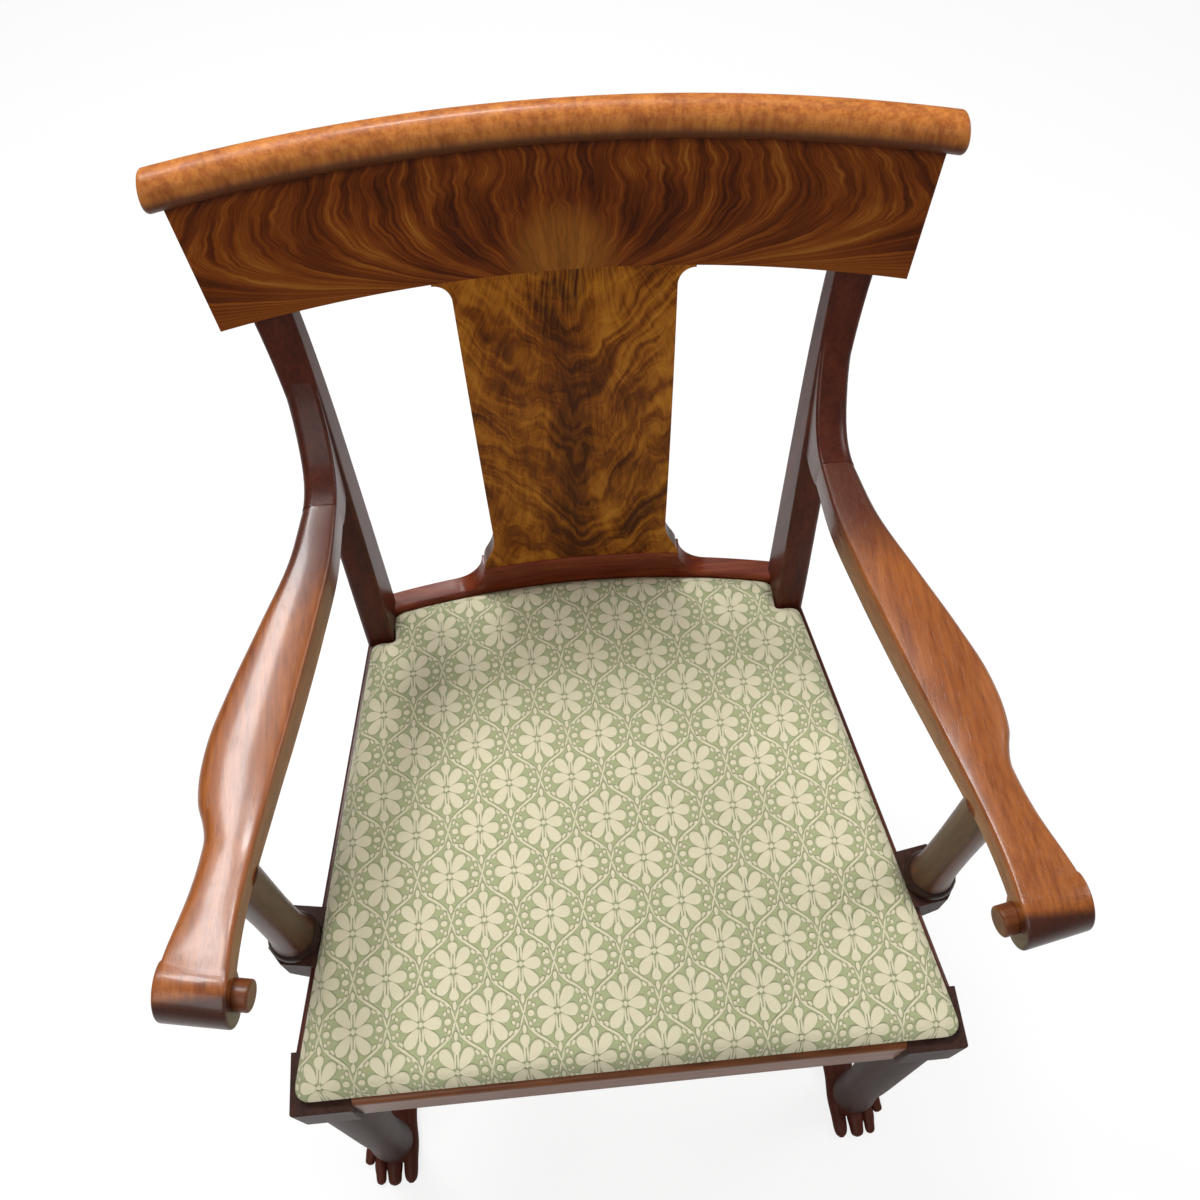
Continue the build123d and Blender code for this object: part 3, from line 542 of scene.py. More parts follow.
@dataclass(frozen=True)
class Steel:
    """Plain or blued steel of screws and tacks."""

    name: str
    tint: str

    def material(self) -> bpy.types.Material:
        """Build the finish.

        Returns:
            A metal with faint wear.
        """
        r = Recipe(self.name)
        wear = r.noise(r.join(*r.place()), 700.0, 2.0)
        r.set("Base Color", self.tint)
        r.set("Metallic", 1.0)
        r.set("Roughness", 0.3 + wear * 0.2)
        return r.material


class Leaf(NamedTuple):
    """Soft ellipse of the woven pattern, in millimetres and degrees from its cell's middle."""

    across: float
    along: float
    length: float
    breadth: float
    turn: float
    taper: float = 0.0


@dataclass(frozen=True)
class Jacquard:
    """Cream rosettes with sprigs and ogee tendrils on sage green, in a half-drop repeat."""

    name: str
    ground: str
    line: str
    cream: str
    shade: str = "5e6450"
    shine: str = "fffdf2"
    wide: float = 53.0 * MM
    tall: float = 75.0 * MM
    weft: float = 1.1 * MM
    warp: float = 0.9 * MM
    relief: float = 1.4 * MM
    gap: float = 8.0 * MM
    sway: float = 4.0 * MM
    stroke: float = 1.8 * MM
    rosette: tuple[Leaf, ...] = (
        Leaf(8.9, 0.0, 7.8, 5.0, 0.0, 0.4),
        Leaf(7.1, 9.9, 9.2, 4.9, 56.0, 0.4),
        Leaf(0.0, 17.6, 5.4, 4.0, 90.0, 0.35),
        Leaf(1.15, 9.4, 7.4, 0.95, 89.0),
        Leaf(0.0, 0.0, 1.9, 2.4, 0.0),
        Leaf(16.2, 13.2, 2.5, 1.8, 125.0),
        Leaf(6.4, 25.0, 2.3, 1.7, 110.0),
        Leaf(18.6, 5.8, 1.9, 1.5, 60.0),
    )
    sprig: tuple[Leaf, ...] = (
        Leaf(5.8, 0.0, 3.1, 2.8, 0.0),
        Leaf(1.5, 4.6, 5.6, 0.95, 73.0),
        Leaf(0.0, 11.2, 3.8, 1.9, 90.0),
        Leaf(5.0, 7.6, 1.9, 1.4, 60.0),
    )

    def material(self) -> bpy.types.Material:
        """Build the finish on the cover's own flat coordinates.

        Returns:
            A matt woven material.
        """
        r = Recipe(self.name)
        u, v, _ = r.split(r.node("ShaderNodeUVMap", {"uv_map": "flat"}, {}, "UV"))
        wander = r.noise(r.join(u, v, 0.0), 60.0, 2.0) - 0.5
        x, y = self._cell(u + wander * 0.0016, v + wander * 0.0012)
        side, rise = abs(x), abs(y)
        motif = self._leaves(side, rise, self.rosette).math("MAXIMUM", self._tendril(side, rise) * 0.8)
        far_x, far_y = self._cell(u + self.wide / 2, v)
        motif = motif.math("MAXIMUM", self._leaves(abs(far_x), abs(far_y), self.sprig) * 0.95)
        rim = motif.step(0.02, 0.35) - motif.step(0.35, 0.8)
        thread = (u * (FULL_TURN / self.weft)).math("SINE") * (v * (FULL_TURN / self.warp)).math("SINE")
        fleck = r.noise(r.join(u, v, 0.0), 900.0, 2.0) - 0.5
        worn = r.noise(r.join(u, v, 2.0), 16.0)
        cream = r.blend(motif.step(0.25, 0.75) * (0.78 + worn * 0.3), self.ground, self.cream)
        lined = r.blend(rim * 0.6, cream, self.line)
        # Painted shade and sheen of the threads, with random yarn flecks, laid over the pattern.
        yarn_fleck_and_sheen = r.ramp(0.5 + thread * 0.07 + fleck * 0.3, (0.2, self.shade), (0.8, self.shine))
        r.set("Base Color", r.blend(0.4, lined, yarn_fleck_and_sheen, "SOFT_LIGHT"))
        r.set("Roughness", 0.86)
        r.set("Specular IOR Level", 0.25)
        r.set("Sheen Weight", 0.12)
        r.bump(motif * 0.8 + thread * 0.08 + fleck * 0.2, self.relief)
        return r.material

    def _cell(self, u: Value, v: Value) -> tuple[Value, Value]:
        """Coordinates about the nearest rosette of the half-drop lattice.

        Args:
            u: distance across the cloth.
            v: distance along the cloth.

        Returns:
            Offsets from the rosette's middle, in metres.
        """
        wide, tall = self.wide, self.tall
        here = (self._fold(u, wide), self._fold(v, tall))
        there = (self._fold(u + wide / 2, wide), self._fold(v + tall / 2, tall))
        nearer = (abs(here[0]) / wide + abs(here[1]) / tall).math("LESS_THAN", 0.5)
        x, y = (nearer * a + (1.0 - nearer) * b for a, b in zip(here, there))
        return x, y

    def _fold(self, value: Value, period: float) -> Value:
        """Distance from the nearest whole multiple of a period, with sign."""
        return value - (value / period + 0.5).math("FLOOR") * period

    def _leaves(self, side: Value, rise: Value, leaves: Sequence[Leaf]) -> Value:
        """Union of soft ellipses, folded into one quarter of the cell.

        Args:
            side: distance sideways from the cell's middle.
            rise: distance along the cloth from the cell's middle.
            leaves: the ellipses.

        Returns:
            The mask, 1 inside and 0 outside.
        """
        union, *masks = (self._leaf(side, rise, leaf) for leaf in leaves)
        for mask in masks:
            union = union.math("MAXIMUM", mask)
        return union

    def _leaf(self, x: Value, y: Value, leaf: Leaf) -> Value:
        """Soft ellipse, broader at its far end where it tapers.

        Args:
            x: distance sideways from the cell's middle.
            y: distance along the cloth from the cell's middle.
            leaf: the ellipse.

        Returns:
            The mask, 1 in the middle and 0 past its edge.
        """
        c, s = math.cos(math.radians(leaf.turn)), math.sin(math.radians(leaf.turn))
        dx, dy = x - leaf.across * MM, y - leaf.along * MM
        along = (dx * c + dy * s) / (leaf.length * MM)
        across = (dy * c - dx * s) / ((along * leaf.taper + 1.0) * (leaf.breadth * MM))
        return (along * along + across * across).step(1.2, 0.6)

    def _tendril(self, side: Value, rise: Value) -> Value:
        """Leaf strokes along the S curve that parts a cell from its slanting neighbour.

        The curve runs from half the repeat's width at the cell's middle level to nothing at its
        tip, bent by one sine wave. The stroke swells and fades along it.

        Args:
            side: distance sideways from the cell's middle.
            rise: distance along the cloth from the cell's middle.

        Returns:
            The mask.
        """
        reach, fade = self.tall / 2, self.gap + 2.0 * MM
        bend = (rise * (FULL_TURN / reach)).math("SINE") * self.sway
        curve = self.wide / 2 - rise * (self.wide / self.tall) + bend
        inside = rise.step(self.gap, fade) * rise.step(reach - self.gap, reach - fade)
        phase = (rise - self.gap) * (math.pi / (reach - 2 * self.gap))
        swell = phase.math("SINE").math("MAXIMUM", 0.0)
        return (abs(side - curve) * 0.8 / (swell * self.stroke + 0.1 * MM)).step(1.2, 0.5) * inside


def smooth(at: np.ndarray, places: Sequence[float], values: Sequence[float]) -> np.ndarray:
    """Cubic curve through values, with slopes from their neighbours.

    Args:
        at: where to read the curve.
        places: rising places of the values.
        values: the values.

    Returns:
        The curve's values.
    """
    places, values = np.asarray(places), np.asarray(values)
    slopes = np.gradient(values, places)
    k = np.clip(np.searchsorted(places, at) - 1, 0, len(places) - 2)
    step = places[k + 1] - places[k]
    t = (at - places[k]) / step
    start = values[k] * (1 + 2 * t) * (1 - t) ** 2 + slopes[k] * step * t * (1 - t) ** 2
    return start + values[k + 1] * t**2 * (3 - 2 * t) - slopes[k + 1] * step * t**2 * (1 - t)


def circle(count: int) -> np.ndarray:
    """Even angles round a full turn, in radians."""
    return np.linspace(0.0, FULL_TURN, count, endpoint=False)


def arc(start: float, stop: float, count: int) -> np.ndarray:
    """Cosines and sines of even angles from start to stop degrees, one row of two per angle."""
    turn = np.radians(np.linspace(start, stop, count))
    return np.stack([np.cos(turn), np.sin(turn)], axis=1)


class Meshes:
    """Turns arrays of points into mesh objects."""

    @staticmethod
    def shell(points: np.ndarray, caps: bool = True) -> Shell:
        """Points and faces of a tube, ring by ring.

        Args:
            points: rings by points by three.
            caps: close the first and last ring, each on a point in its middle.

        Returns:
            Points and faces.
        """
        rings, count, _ = points.shape
        index = np.arange(rings * count).reshape(rings, count)
        index = np.concatenate([index, index[:, :1]], axis=1)
        corners = [index[:-1, :-1], index[:-1, 1:], index[1:, 1:], index[1:, :-1]]
        faces = np.stack(corners, axis=-1).reshape(-1, 4).tolist()
        flat = points.reshape(-1, 3)
        if caps:
            hub = np.full(count, len(flat))
            flat = np.concatenate([flat, [points[0].mean(axis=0), points[-1].mean(axis=0)]])
            faces += np.stack([index[0, 1:], index[0, :-1], hub], axis=-1).tolist()
            faces += np.stack([index[-1, :-1], index[-1, 1:], hub + 1], axis=-1).tolist()
        return flat, faces

    @staticmethod
    def joined(name: str, shells: Sequence[Shell], crease: float) -> bpy.types.Object:
        """One object of several closed shells.

        Args:
            name: the object's name.
            shells: points and faces of each shell.
            crease: angle in degrees past which an edge is sharp.

        Returns:
            A new object.
        """
        faces: list[list[int]] = []
        count = 0
        for points, corners in shells:
            faces += [[corner + count for corner in face] for face in corners]
            count += len(points)
        made = Meshes.raw(name, np.concatenate([points for points, _ in shells]), faces)
        made.data.set_sharp_from_angle(angle=math.radians(crease))
        return made

    @staticmethod
    def turned(rings: np.ndarray, count: int = 48) -> Shell:
        """Closed shell of level rings.

        Args:
            rings: one row per ring from the bottom up: middle x, middle y, height, radius.
            count: points in a ring.

        Returns:
            Points and faces.
        """
        around = circle(count)
        x = rings[:, 0:1] + rings[:, 3:4] * np.cos(around)
        y = rings[:, 1:2] + rings[:, 3:4] * np.sin(around)
        z = np.broadcast_to(rings[:, 2:3], x.shape)
        return Meshes.shell(np.stack([x, y, z], axis=-1))

    @staticmethod
    def prism(plan: np.ndarray, low: float, high: float) -> Shell:
        """Closed shell of an upright prism.

        Args:
            plan: corners, counter-clockwise from above.
            low: height of its foot.
            high: height of its top.

        Returns:
            Points and faces.
        """
        count = len(plan)
        points = np.concatenate([np.column_stack([plan, np.full(count, z)]) for z in (low, high)])
        here = np.arange(count)
        after = np.roll(here, -1)
        sides = np.stack([here, after, after + count, here + count], axis=1).tolist()
        return points, [here[::-1].tolist(), (here + count).tolist(), *sides]

    @staticmethod
    def sided(side: Side, shells: Sequence[Shell]) -> list[Shell]:
        """Move shells to the side asked for.

        Args:
            side: the side.
            shells: drawn in millimetres for the right.

        Returns:
            The shells in metres, with their faces outward.
        """
        flip = np.array([side.value, 1.0, 1.0]) * MM
        step = 1 if side is Side.RIGHT else -1
        return [(points * flip, [face[::step] for face in faces]) for points, faces in shells]

    @staticmethod
    def raw(name: str, points: np.ndarray, faces: list[list[int]]) -> bpy.types.Object:
        """Object from points and faces.

        Args:
            name: the object's name.
            points: one row of three per point.
            faces: lists of point numbers.

        Returns:
            A new smooth-shaded object, linked to the scene.
        """
        mesh = bpy.data.meshes.new(name)
        mesh.from_pydata(points.tolist(), [], faces)
        mesh.polygons.foreach_set("use_smooth", np.ones(len(mesh.polygons), dtype=bool))
        mesh.update()
        made = bpy.data.objects.new(name, mesh)
        bpy.context.scene.collection.objects.link(made)
        return made

    @staticmethod
    def dress(piece: bpy.types.Object, material: bpy.types.Material) -> None:
        """Give a piece one material."""
        piece.data.materials.clear()
        piece.data.materials.append(material)


def install(
    piece: bpy.types.Object, material: bpy.types.Material, node: str, body: str
) -> None:
    """Dress a finished piece and put it in a node's place.

    Args:
        piece: the piece.
        material: its finish.
        node: the node that it replaces.
        body: the body that it rides on.
    """
    Meshes.dress(piece, material)
    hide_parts(node)
    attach(piece, body)
    log.info("made %s", piece.name)


@dataclass
class Woodshop:
    """The finishes of the chair, built once and shared."""

    made: dict[str, bpy.types.Material] = field(default_factory=dict)

    def get(self, finish: Any) -> bpy.types.Material:
        """Material of a finish, built on first use.

        Args:
            finish: the finish.

        Returns:
            Its material.
        """
        if finish.name not in self.made:
            self.made[finish.name] = finish.material()
        return self.made[finish.name]

    def polish(self, name: str, tones: tuple[str, str, str], grain: Grain, **more: Any) -> bpy.types.Material:
        """Polished mahogany in three tones.

        Args:
            name: stem of the material's name.
            tones: dark, middle and light colours.
            grain: axis of the fibres.
            more: further settings of the finish.

        Returns:
            The material.
        """
        return self.get(PolishedWood(f"{name}_{grain.name.lower()}", *tones, grain, **more))


RED_BROWN = ("34120a", "4a1c0e", "602b17")
GOLDEN = ("7d3f15", "a45b24", "cb823a")
WARM = ("5f2a0c", "8a4919", "a86128")
BOSS = ("4a2210", "6a381c", "86502c")
SHOE = ("43140a", "682410", "8c441f")
RAIL = ("4a2412", "7a4424", "9a6238")
NEAR_BLACK = ("1e100c", "382019", "4c2e25")
COLUMN = ("2e160e", "54321f", "6e452e")
BEECH = ("8d6a42", "c9a473")
DULL = {"gloss": 0.42, "coat": 0.03, "specular": 0.16}
ARM_ENDS = (
    EndTone("33110c", Grain.DEEP, -227.5 * MM, -235.0 * MM),
    EndTone("4a1c0e", Grain.DEEP, 30.0 * MM, 95.0 * MM),
)
PAW_TONE = EndTone("56291d", Grain.UPRIGHT, 40.0 * MM, 20.0 * MM)
COLUMN_FOOT = EndTone("25120d", Grain.UPRIGHT, 466.0 * MM, 458.0 * MM)
# Painted shade: the lower part of the crest roll, which faces down, is darkened.
ROLL_FOOT_SHADE = EndTone("4f2410", Grain.UPRIGHT, 873.5 * MM, 865.0 * MM)
CREST_FLAME = FlameVeneer("flame_crest", Figure.CREST, "3c1705", "602a08", "80400f", "a46a28")
SPLAT_FLAME = FlameVeneer("flame_splat", Figure.SPLAT, "482005", "7a400a", "a05f16", "bc7c26")
SCREW_STEEL = Steel("screw_steel", "8c8c8a")
TACK_STEEL = Steel("tack_steel", "30343d")
ROSETTES = Jacquard("rosette_jacquard", "a9ae86", "8d9570", "e0d8bb")
WEBBING = PlainCloth("webbing", "6f5a3a", "a58c62", 500.0)
HESSIAN = PlainCloth("hessian", "5f4a2b", "9a7d4f", 420.0)
STUFFING = PlainCloth("stuffing", "b8ae96", "ddd4bd", 300.0)


@dataclass
class ChairFrame:
    """The solids that show as they are: posts, rails, back, brackets and what is hidden."""

    nodes: dict[str, bpy.types.Object]
    shop: Woodshop

    def dress(self) -> None:
        """Give each of these nodes its finish."""
        get, polish = self.shop.get, self.shop.polish
        red = {grain: polish("mahogany_red", RED_BROWN, grain) for grain in Grain}
        beech = get(BareWood("beech_across", *BEECH, Grain.ACROSS))
        beech_deep = get(BareWood("beech_deep", *BEECH, Grain.DEEP))
        screws = get(SCREW_STEEL)
        # The crest roll's foot is darkened with painted shade.
        bead = {"ribbon": 0.6, "gloss": 0.36, "coat": 0.06, "ends": (ROLL_FOOT_SHADE,)}
        pairs = {
            "rear_post": red[Grain.UPRIGHT],
            "side_rail": red[Grain.DEEP],
            "arm_support_bracket": polish("mahogany_black", NEAR_BLACK, Grain.DEEP, **DULL),
            "crest_veneer": get(CREST_FLAME),
            "splat_veneer": get(SPLAT_FLAME),
            "front_corner_block": beech,
            "rear_corner_block": beech,
            "seat_frame": beech_deep,
        }
        single = {
            "crest_rail": red[Grain.ACROSS],
            "crest_roll": polish("mahogany_gold", GOLDEN, Grain.UPRIGHT, **bead),
            "splat": red[Grain.UPRIGHT],
            "front_seat_rail": polish("mahogany_rail", RAIL, Grain.ACROSS),
            "arm_scroll_bosses": polish("mahogany_boss", BOSS, Grain.ACROSS, soft_edge=3.0 * MM),
            "arm_dowels": beech_deep,
            "seat_frame_front": beech,
            "seat_frame_rear": beech,
            "bracket_screws": screws,
            "corner_block_screws": screws,
            "cover_tacks": get(TACK_STEEL),
        }
        sided = {f"{stem}_{side.word}": finish for stem, finish in pairs.items() for side in Side}
        for name, material in (sided | single).items():
            Meshes.dress(self.nodes[name], material)
            log.info("dressed %s", name)


class Station(NamedTuple):
    """Section of an arm at one depth, in millimetres."""

    y: float
    inner: float
    outer: float
    top: float
    thickness: float
    crown: float


@dataclass
class ScrollArm:
    """One arm: a crowned bar that swells, narrows and ends in a roll."""

    shop: Woodshop
    side: Side
    inner_edge: float = 2.5
    outer_edge: float = 9.0
    edge_change: tuple[float, float] = (-205.0, -160.0)
    top_points: int = 12
    steps: int = 150
    crease: float = 50.0
    roll_radius: float = 21.5
    roll_middle: tuple[float, float, float] = (275.0, -223.0, 638.0)
    roll_turn: float = 10.8
    roll_edge: float = 2.0
    roll_points: int = 64
    inside_cut: tuple[float, float] = (252.5, -0.071)
    outside_cut: tuple[float, float] = (299.6, -0.120)
    curl_turn: float = 325.0
    curl_depth: float = 0.42
    curl_power: float = 1.3
    hub_share: float = 0.5
    stations: tuple[Station, ...] = (
        Station(130.0, 189.0, 216.5, 656.0, 30.0, 0.6),
        Station(90.0, 194.0, 228.0, 649.0, 32.5, 1.6),
        Station(40.0, 205.5, 250.0, 643.6, 33.6, 2.6),
        Station(-10.0, 217.5, 271.0, 641.2, 33.7, 3.4),
        Station(-50.0, 226.5, 284.0, 641.2, 31.7, 3.6),
        Station(-85.0, 234.5, 287.6, 642.2, 29.7, 3.4),
        Station(-97.0, 236.9, 286.4, 643.0, 28.8, 3.2),
        Station(-109.0, 239.2, 282.6, 644.0, 27.8, 2.8),
        Station(-122.0, 241.5, 280.0, 645.4, 26.4, 2.4),
        Station(-136.0, 243.9, 281.2, 647.4, 25.2, 2.2),
        Station(-165.0, 248.5, 286.8, 651.3, 23.3, 1.8),
        Station(-205.0, 252.0, 295.8, 657.2, 22.2, 0.8),
        Station(-223.0, 252.5, 298.6, 658.9, 21.0, 0.2),
    )

    def build(self) -> None:
        """Make the arm, a bar and a roll."""
        shells = Meshes.sided(self.side, [Meshes.shell(self.bar()), Meshes.shell(self.roll())])
        made = Meshes.joined(f"arm_{self.side.word}_crowned", shells, self.crease)
        shine = {"ribbon": 0.5, "soft_edge": 2.0 * MM, "coat": 0.25, "specular": 0.45}
        finish = self.shop.polish("mahogany_arm", WARM, Grain.DEEP, ends=ARM_ENDS, **shine)
        install(made, finish, f"arm_{self.side.word}", FRAME_BODY)

    def bar(self) -> np.ndarray:
        """Sections from the roll to the post: a rounded oblong whose top is a shallow parabola.

        Returns:
            Sections by points by three, in millimetres, for the right arm.
        """
        depth, *rest = np.array(self.stations)[::-1].T
        y = np.linspace(depth[0], depth[-1], self.steps)
        inner, outer, top, thickness, crown = (smooth(y, depth, values)[:, None] for values in rest)
        low, near = top - thickness, self.inner_edge
        far = np.interp(y, self.edge_change, (self.inner_edge, self.outer_edge))[:, None]
        corners = (
            (inner + near, top - near, near, arc(180.0, 90.0, 6)),
            (outer - far, top - far, far, arc(90.0, 0.0, 10)),
            (outer - far, low + far, far, arc(0.0, -90.0, 8)),
            (inner + near, low + near, near, arc(-90.0, -180.0, 5)),
        )
        x = [mid_x + radius * turn[:, 0] for mid_x, _, radius, turn in corners]
        z = [mid_z + radius * turn[:, 1] for _, mid_z, radius, turn in corners]
        share = np.linspace(0.0, 1.0, self.top_points + 2)[1:-1]
        x.insert(1, inner + near + (outer - far - inner - near) * share)
        z.insert(1, np.broadcast_to(top, x[1].shape))
        upper = sum(part.shape[1] for part in x[:3])
        x, z = np.concatenate(x, axis=1), np.concatenate(z, axis=1)
        across = (x - (inner + outer) / 2) / ((outer - inner) / 2)
        z[:, :upper] -= crown * across[:, :upper] ** 2
        return np.stack([x, np.broadcast_to(y[:, None], x.shape), z], axis=-1)

    def roll(self) -> np.ndarray:
        """Roll across the arm's front, with its ends cut to the arm's plan and rounded.

        The radius shrinks by a power of the cosine of the angle from the curl, on the curl's side.

        Returns:
            Rings by points by three, in millimetres, for the right arm.
        """
        turn = math.radians(self.roll_turn)
        axis = np.array([math.cos(turn), math.sin(turn), 0.0])
        side = np.array([-math.sin(turn), math.cos(turn), 0.0])
        around = circle(self.roll_points)
        into, set_back = self.roll_edge * (1.0 - arc(0.0, 90.0, 6)).T
        into = np.concatenate([[0.0], into])
        set_back = np.concatenate([[self.roll_radius * self.hub_share], set_back])
        radius = self.roll_radius - np.concatenate([set_back, set_back[::-1]])
        lobe = np.maximum(np.cos(around - math.radians(self.curl_turn)), 0.0) ** self.curl_power
        ring = np.cos(around)[:, None] * side + np.sin(around)[:, None] * np.array([0.0, 0.0, 1.0])
        ring = (1.0 - self.curl_depth * lobe)[:, None] * ring
        near = np.array(self.roll_middle) + radius[:, None, None] * ring
        half = len(into)
        first = self.meet(near[:half], axis, *self.inside_cut) + into[:, None]
        last = self.meet(near[half:], axis, *self.outside_cut) - into[::-1, None]
        return near + np.concatenate([first, last])[..., None] * axis

    def meet(self, near: np.ndarray, axis: np.ndarray, x: float, slope: float) -> np.ndarray:
        """Distance along the roll's axis from points to an upright plane across it.

        Args:
            near: points.
            axis: the roll's direction.
            x: where the plane is at the roll's middle depth.
            slope: sideways shift for each unit of depth.

        Returns:
            One distance per point.
        """
        gap = x + slope * (near[..., 1] - self.roll_middle[1]) - near[..., 0]
        return gap / (axis[0] - slope * axis[1])


class Toe(NamedTuple):
    """One toe of a paw: root from the paw's middle, turn outward, length and radius."""

    across: float
    forward: float
    turn: float
    length: float
    radius: float


@dataclass
class FrontLeg:
    """One front leg: block with a rim round the seat, round shaft, and a paw with toes and a heel."""

    shop: Woodshop
    side: Side
    middle: tuple[float, float] = (239.5, -256.5)
    shift: tuple[float, float] = (10.5, -7.0)
    paw: tuple[float, float] = (249.5, -269.5)
    half: float = 23.5
    edge: float = 2.5
    low: float = 385.0
    ledge: float = 422.0
    top: float = 440.0
    rim_front: float = 9.6
    rim_side: float = 10.6
    hollow_radius: float = 10.5
    hollow_inset: float = 16.2
    crease: float = 40.0
    ankle: tuple[float, float] = (46.0, 50.0)
    shaft_rings: tuple[int, int] = (24, 30)
    levels: tuple[float, ...] = (0.0, 3.0, 10.0, 22.0, 46.0, 80.0, 160.0, 270.0, 386.0)
    radii: tuple[float, ...] = (16.0, 18.5, 20.5, 21.5, 21.3, 19.2, 20.2, 21.6, 22.5)
    shares: tuple[float, ...] = (1.0, 1.0, 1.0, 1.0, 1.0, 0.91, 0.68, 0.32, 0.0)
    toe_lift: float = 11.0
    toe_flat: float = 0.6
    toe_rings: int = 30
    toe_points: int = 24
    toe_square: float = 6.0
    knuckle: tuple[float, float, float] = (0.94, 0.07, 0.55)
    toes: tuple[Toe, ...] = (
        Toe(-16.5, -46.0, 0.0, 82.5, 9.0),
        Toe(0.8, 0.0, 0.0, 37.4, 8.6),
        Toe(15.5, 0.0, 0.0, 35.5, 6.4),
        Toe(22.0, -9.0, 16.0, 25.0, 6.4),
        Toe(-5.0, -34.0, 0.0, 50.0, 14.0),
    )

    def build(self) -> None:
        """Make the leg."""
        block = Meshes.prism(self.square(), self.low, self.ledge)
        rim = Meshes.prism(self.rim(), self.ledge, self.top)
        shells = Meshes.sided(self.side, [block, rim, self.shaft(), *map(self.finger, self.toes)])
        made = Meshes.joined(f"front_leg_{self.side.word}_carved", shells, self.crease)
        finish = self.shop.polish("mahogany_leg", NEAR_BLACK, Grain.UPRIGHT, ends=(PAW_TONE,), **DULL)
        install(made, finish, f"front_leg_{self.side.word}", FRAME_BODY)

    def square(self) -> np.ndarray:
        """Plan of the block with rounded corners.

        Returns:
            One row of two per point.
        """
        signs = np.array([(1, 1), (-1, 1), (-1, -1), (1, -1)])
        middles = np.array(self.middle) + signs * (self.half - self.edge)
        turns = [arc(start, start + 90.0, 5) for start in (0.0, 90.0, 180.0, 270.0)]
        return np.concatenate([at + self.edge * turn for at, turn in zip(middles, turns)])

    def rim(self) -> np.ndarray:
        """Plan of the rim that stands round the corner of the seat.

        Returns:
            One row of two per point.
        """
        x, y = self.middle
        front, back, out, inside = y - self.half, y + self.half, x + self.half, x - self.half
        turn = arc(-90.0, 0.0, 5)
        outer = np.array([out - self.edge, front + self.edge]) + self.edge * turn
        hollow = np.array([out - self.hollow_inset, front + self.rim_front + self.hollow_radius])
        inner = hollow + self.hollow_radius * turn[::-1]
        rear = [(out, back), (out - self.rim_side, back)]
        return np.concatenate([[(inside, front)], outer, rear, inner, [(inside, front + self.rim_front)]])

    def shaft(self) -> Shell:
        """Round shaft and ankle: smooth curves of radius and sideways shift over height.

        Returns:
            Points and faces.
        """
        foot = np.linspace(self.levels[0], self.ankle[0], self.shaft_rings[0])
        z = np.concatenate([foot, np.linspace(self.ankle[1], self.levels[-1], self.shaft_rings[1])])
        radius, share = (smooth(z, self.levels, values) for values in (self.radii, self.shares))
        x, y = (self.middle[axis] + share * self.shift[axis] for axis in (0, 1))
        return Meshes.turned(np.stack([x, y, z, radius], axis=1))

    def finger(self, toe: Toe) -> Shell:
        """Toe: a rounded bar with a knuckle, flat where it meets the floor.

        Args:
            toe: its sizes.

        Returns:
            Points and faces.
        """
        turn = math.radians(toe.turn)
        dip = math.asin((self.toe_lift - self.toe_flat * toe.radius) / toe.length)
        along = np.array([math.sin(turn) * math.cos(dip), -math.cos(turn) * math.cos(dip), -math.sin(dip)])
        across = np.array([math.cos(turn), math.sin(turn), 0.0])
        upward = np.cross(along, across)
        root = np.array([self.paw[0] + toe.across, self.paw[1] - toe.forward, self.toe_lift])
        u = np.linspace(0.004, 0.996, self.toe_rings)
        mean, swell, place = self.knuckle
        radius = toe.radius * np.sqrt(1.0 - np.abs(2 * u - 1) ** self.toe_square)
        radius *= mean + swell * np.cos(2 * FULL_TURN * (u - place))
        reach = -toe.radius + (toe.length + toe.radius) * u
        around = circle(self.toe_points)
        ring = np.cos(around)[:, None] * across + np.sin(around)[:, None] * upward
        points = root + reach[:, None, None] * along + radius[:, None, None] * ring
        points[..., 2] = np.maximum(points[..., 2], 0.0)
        return Meshes.shell(points)


@dataclass
class ArmSupport:
    """One turned column under an arm, with a heavy ring at its foot."""

    shop: Woodshop
    side: Side
    middle: tuple[float, float] = (260.0, -146.0)
    foot: float = 447.0
    crease: float = 60.0
    profile: tuple[tuple[float, float], ...] = (
        (0.0, 17.5), (0.5, 19.0), (2.4, 20.4), (5.6, 21.0), (8.8, 20.4),
        (10.7, 19.0), (11.4, 17.8), (12.4, 17.4), (14.0, 17.8), (15.6, 17.2),
        (20.0, 16.4), (50.0, 15.5), (88.0, 15.1), (140.0, 15.5), (182.0, 16.0),
    )

    def build(self) -> None:
        """Make the column."""
        z, radius = np.array(self.profile).T
        middle = np.broadcast_to(self.middle, (len(z), 2))
        shell = Meshes.turned(np.column_stack([middle, z + self.foot, radius]))
        shells = Meshes.sided(self.side, [shell])
        made = Meshes.joined(f"arm_support_{self.side.word}_turned", shells, self.crease)
        finish = self.shop.polish("mahogany_turned", COLUMN, Grain.UPRIGHT, ends=(COLUMN_FOOT,))
        install(made, finish, f"arm_support_{self.side.word}", FRAME_BODY)


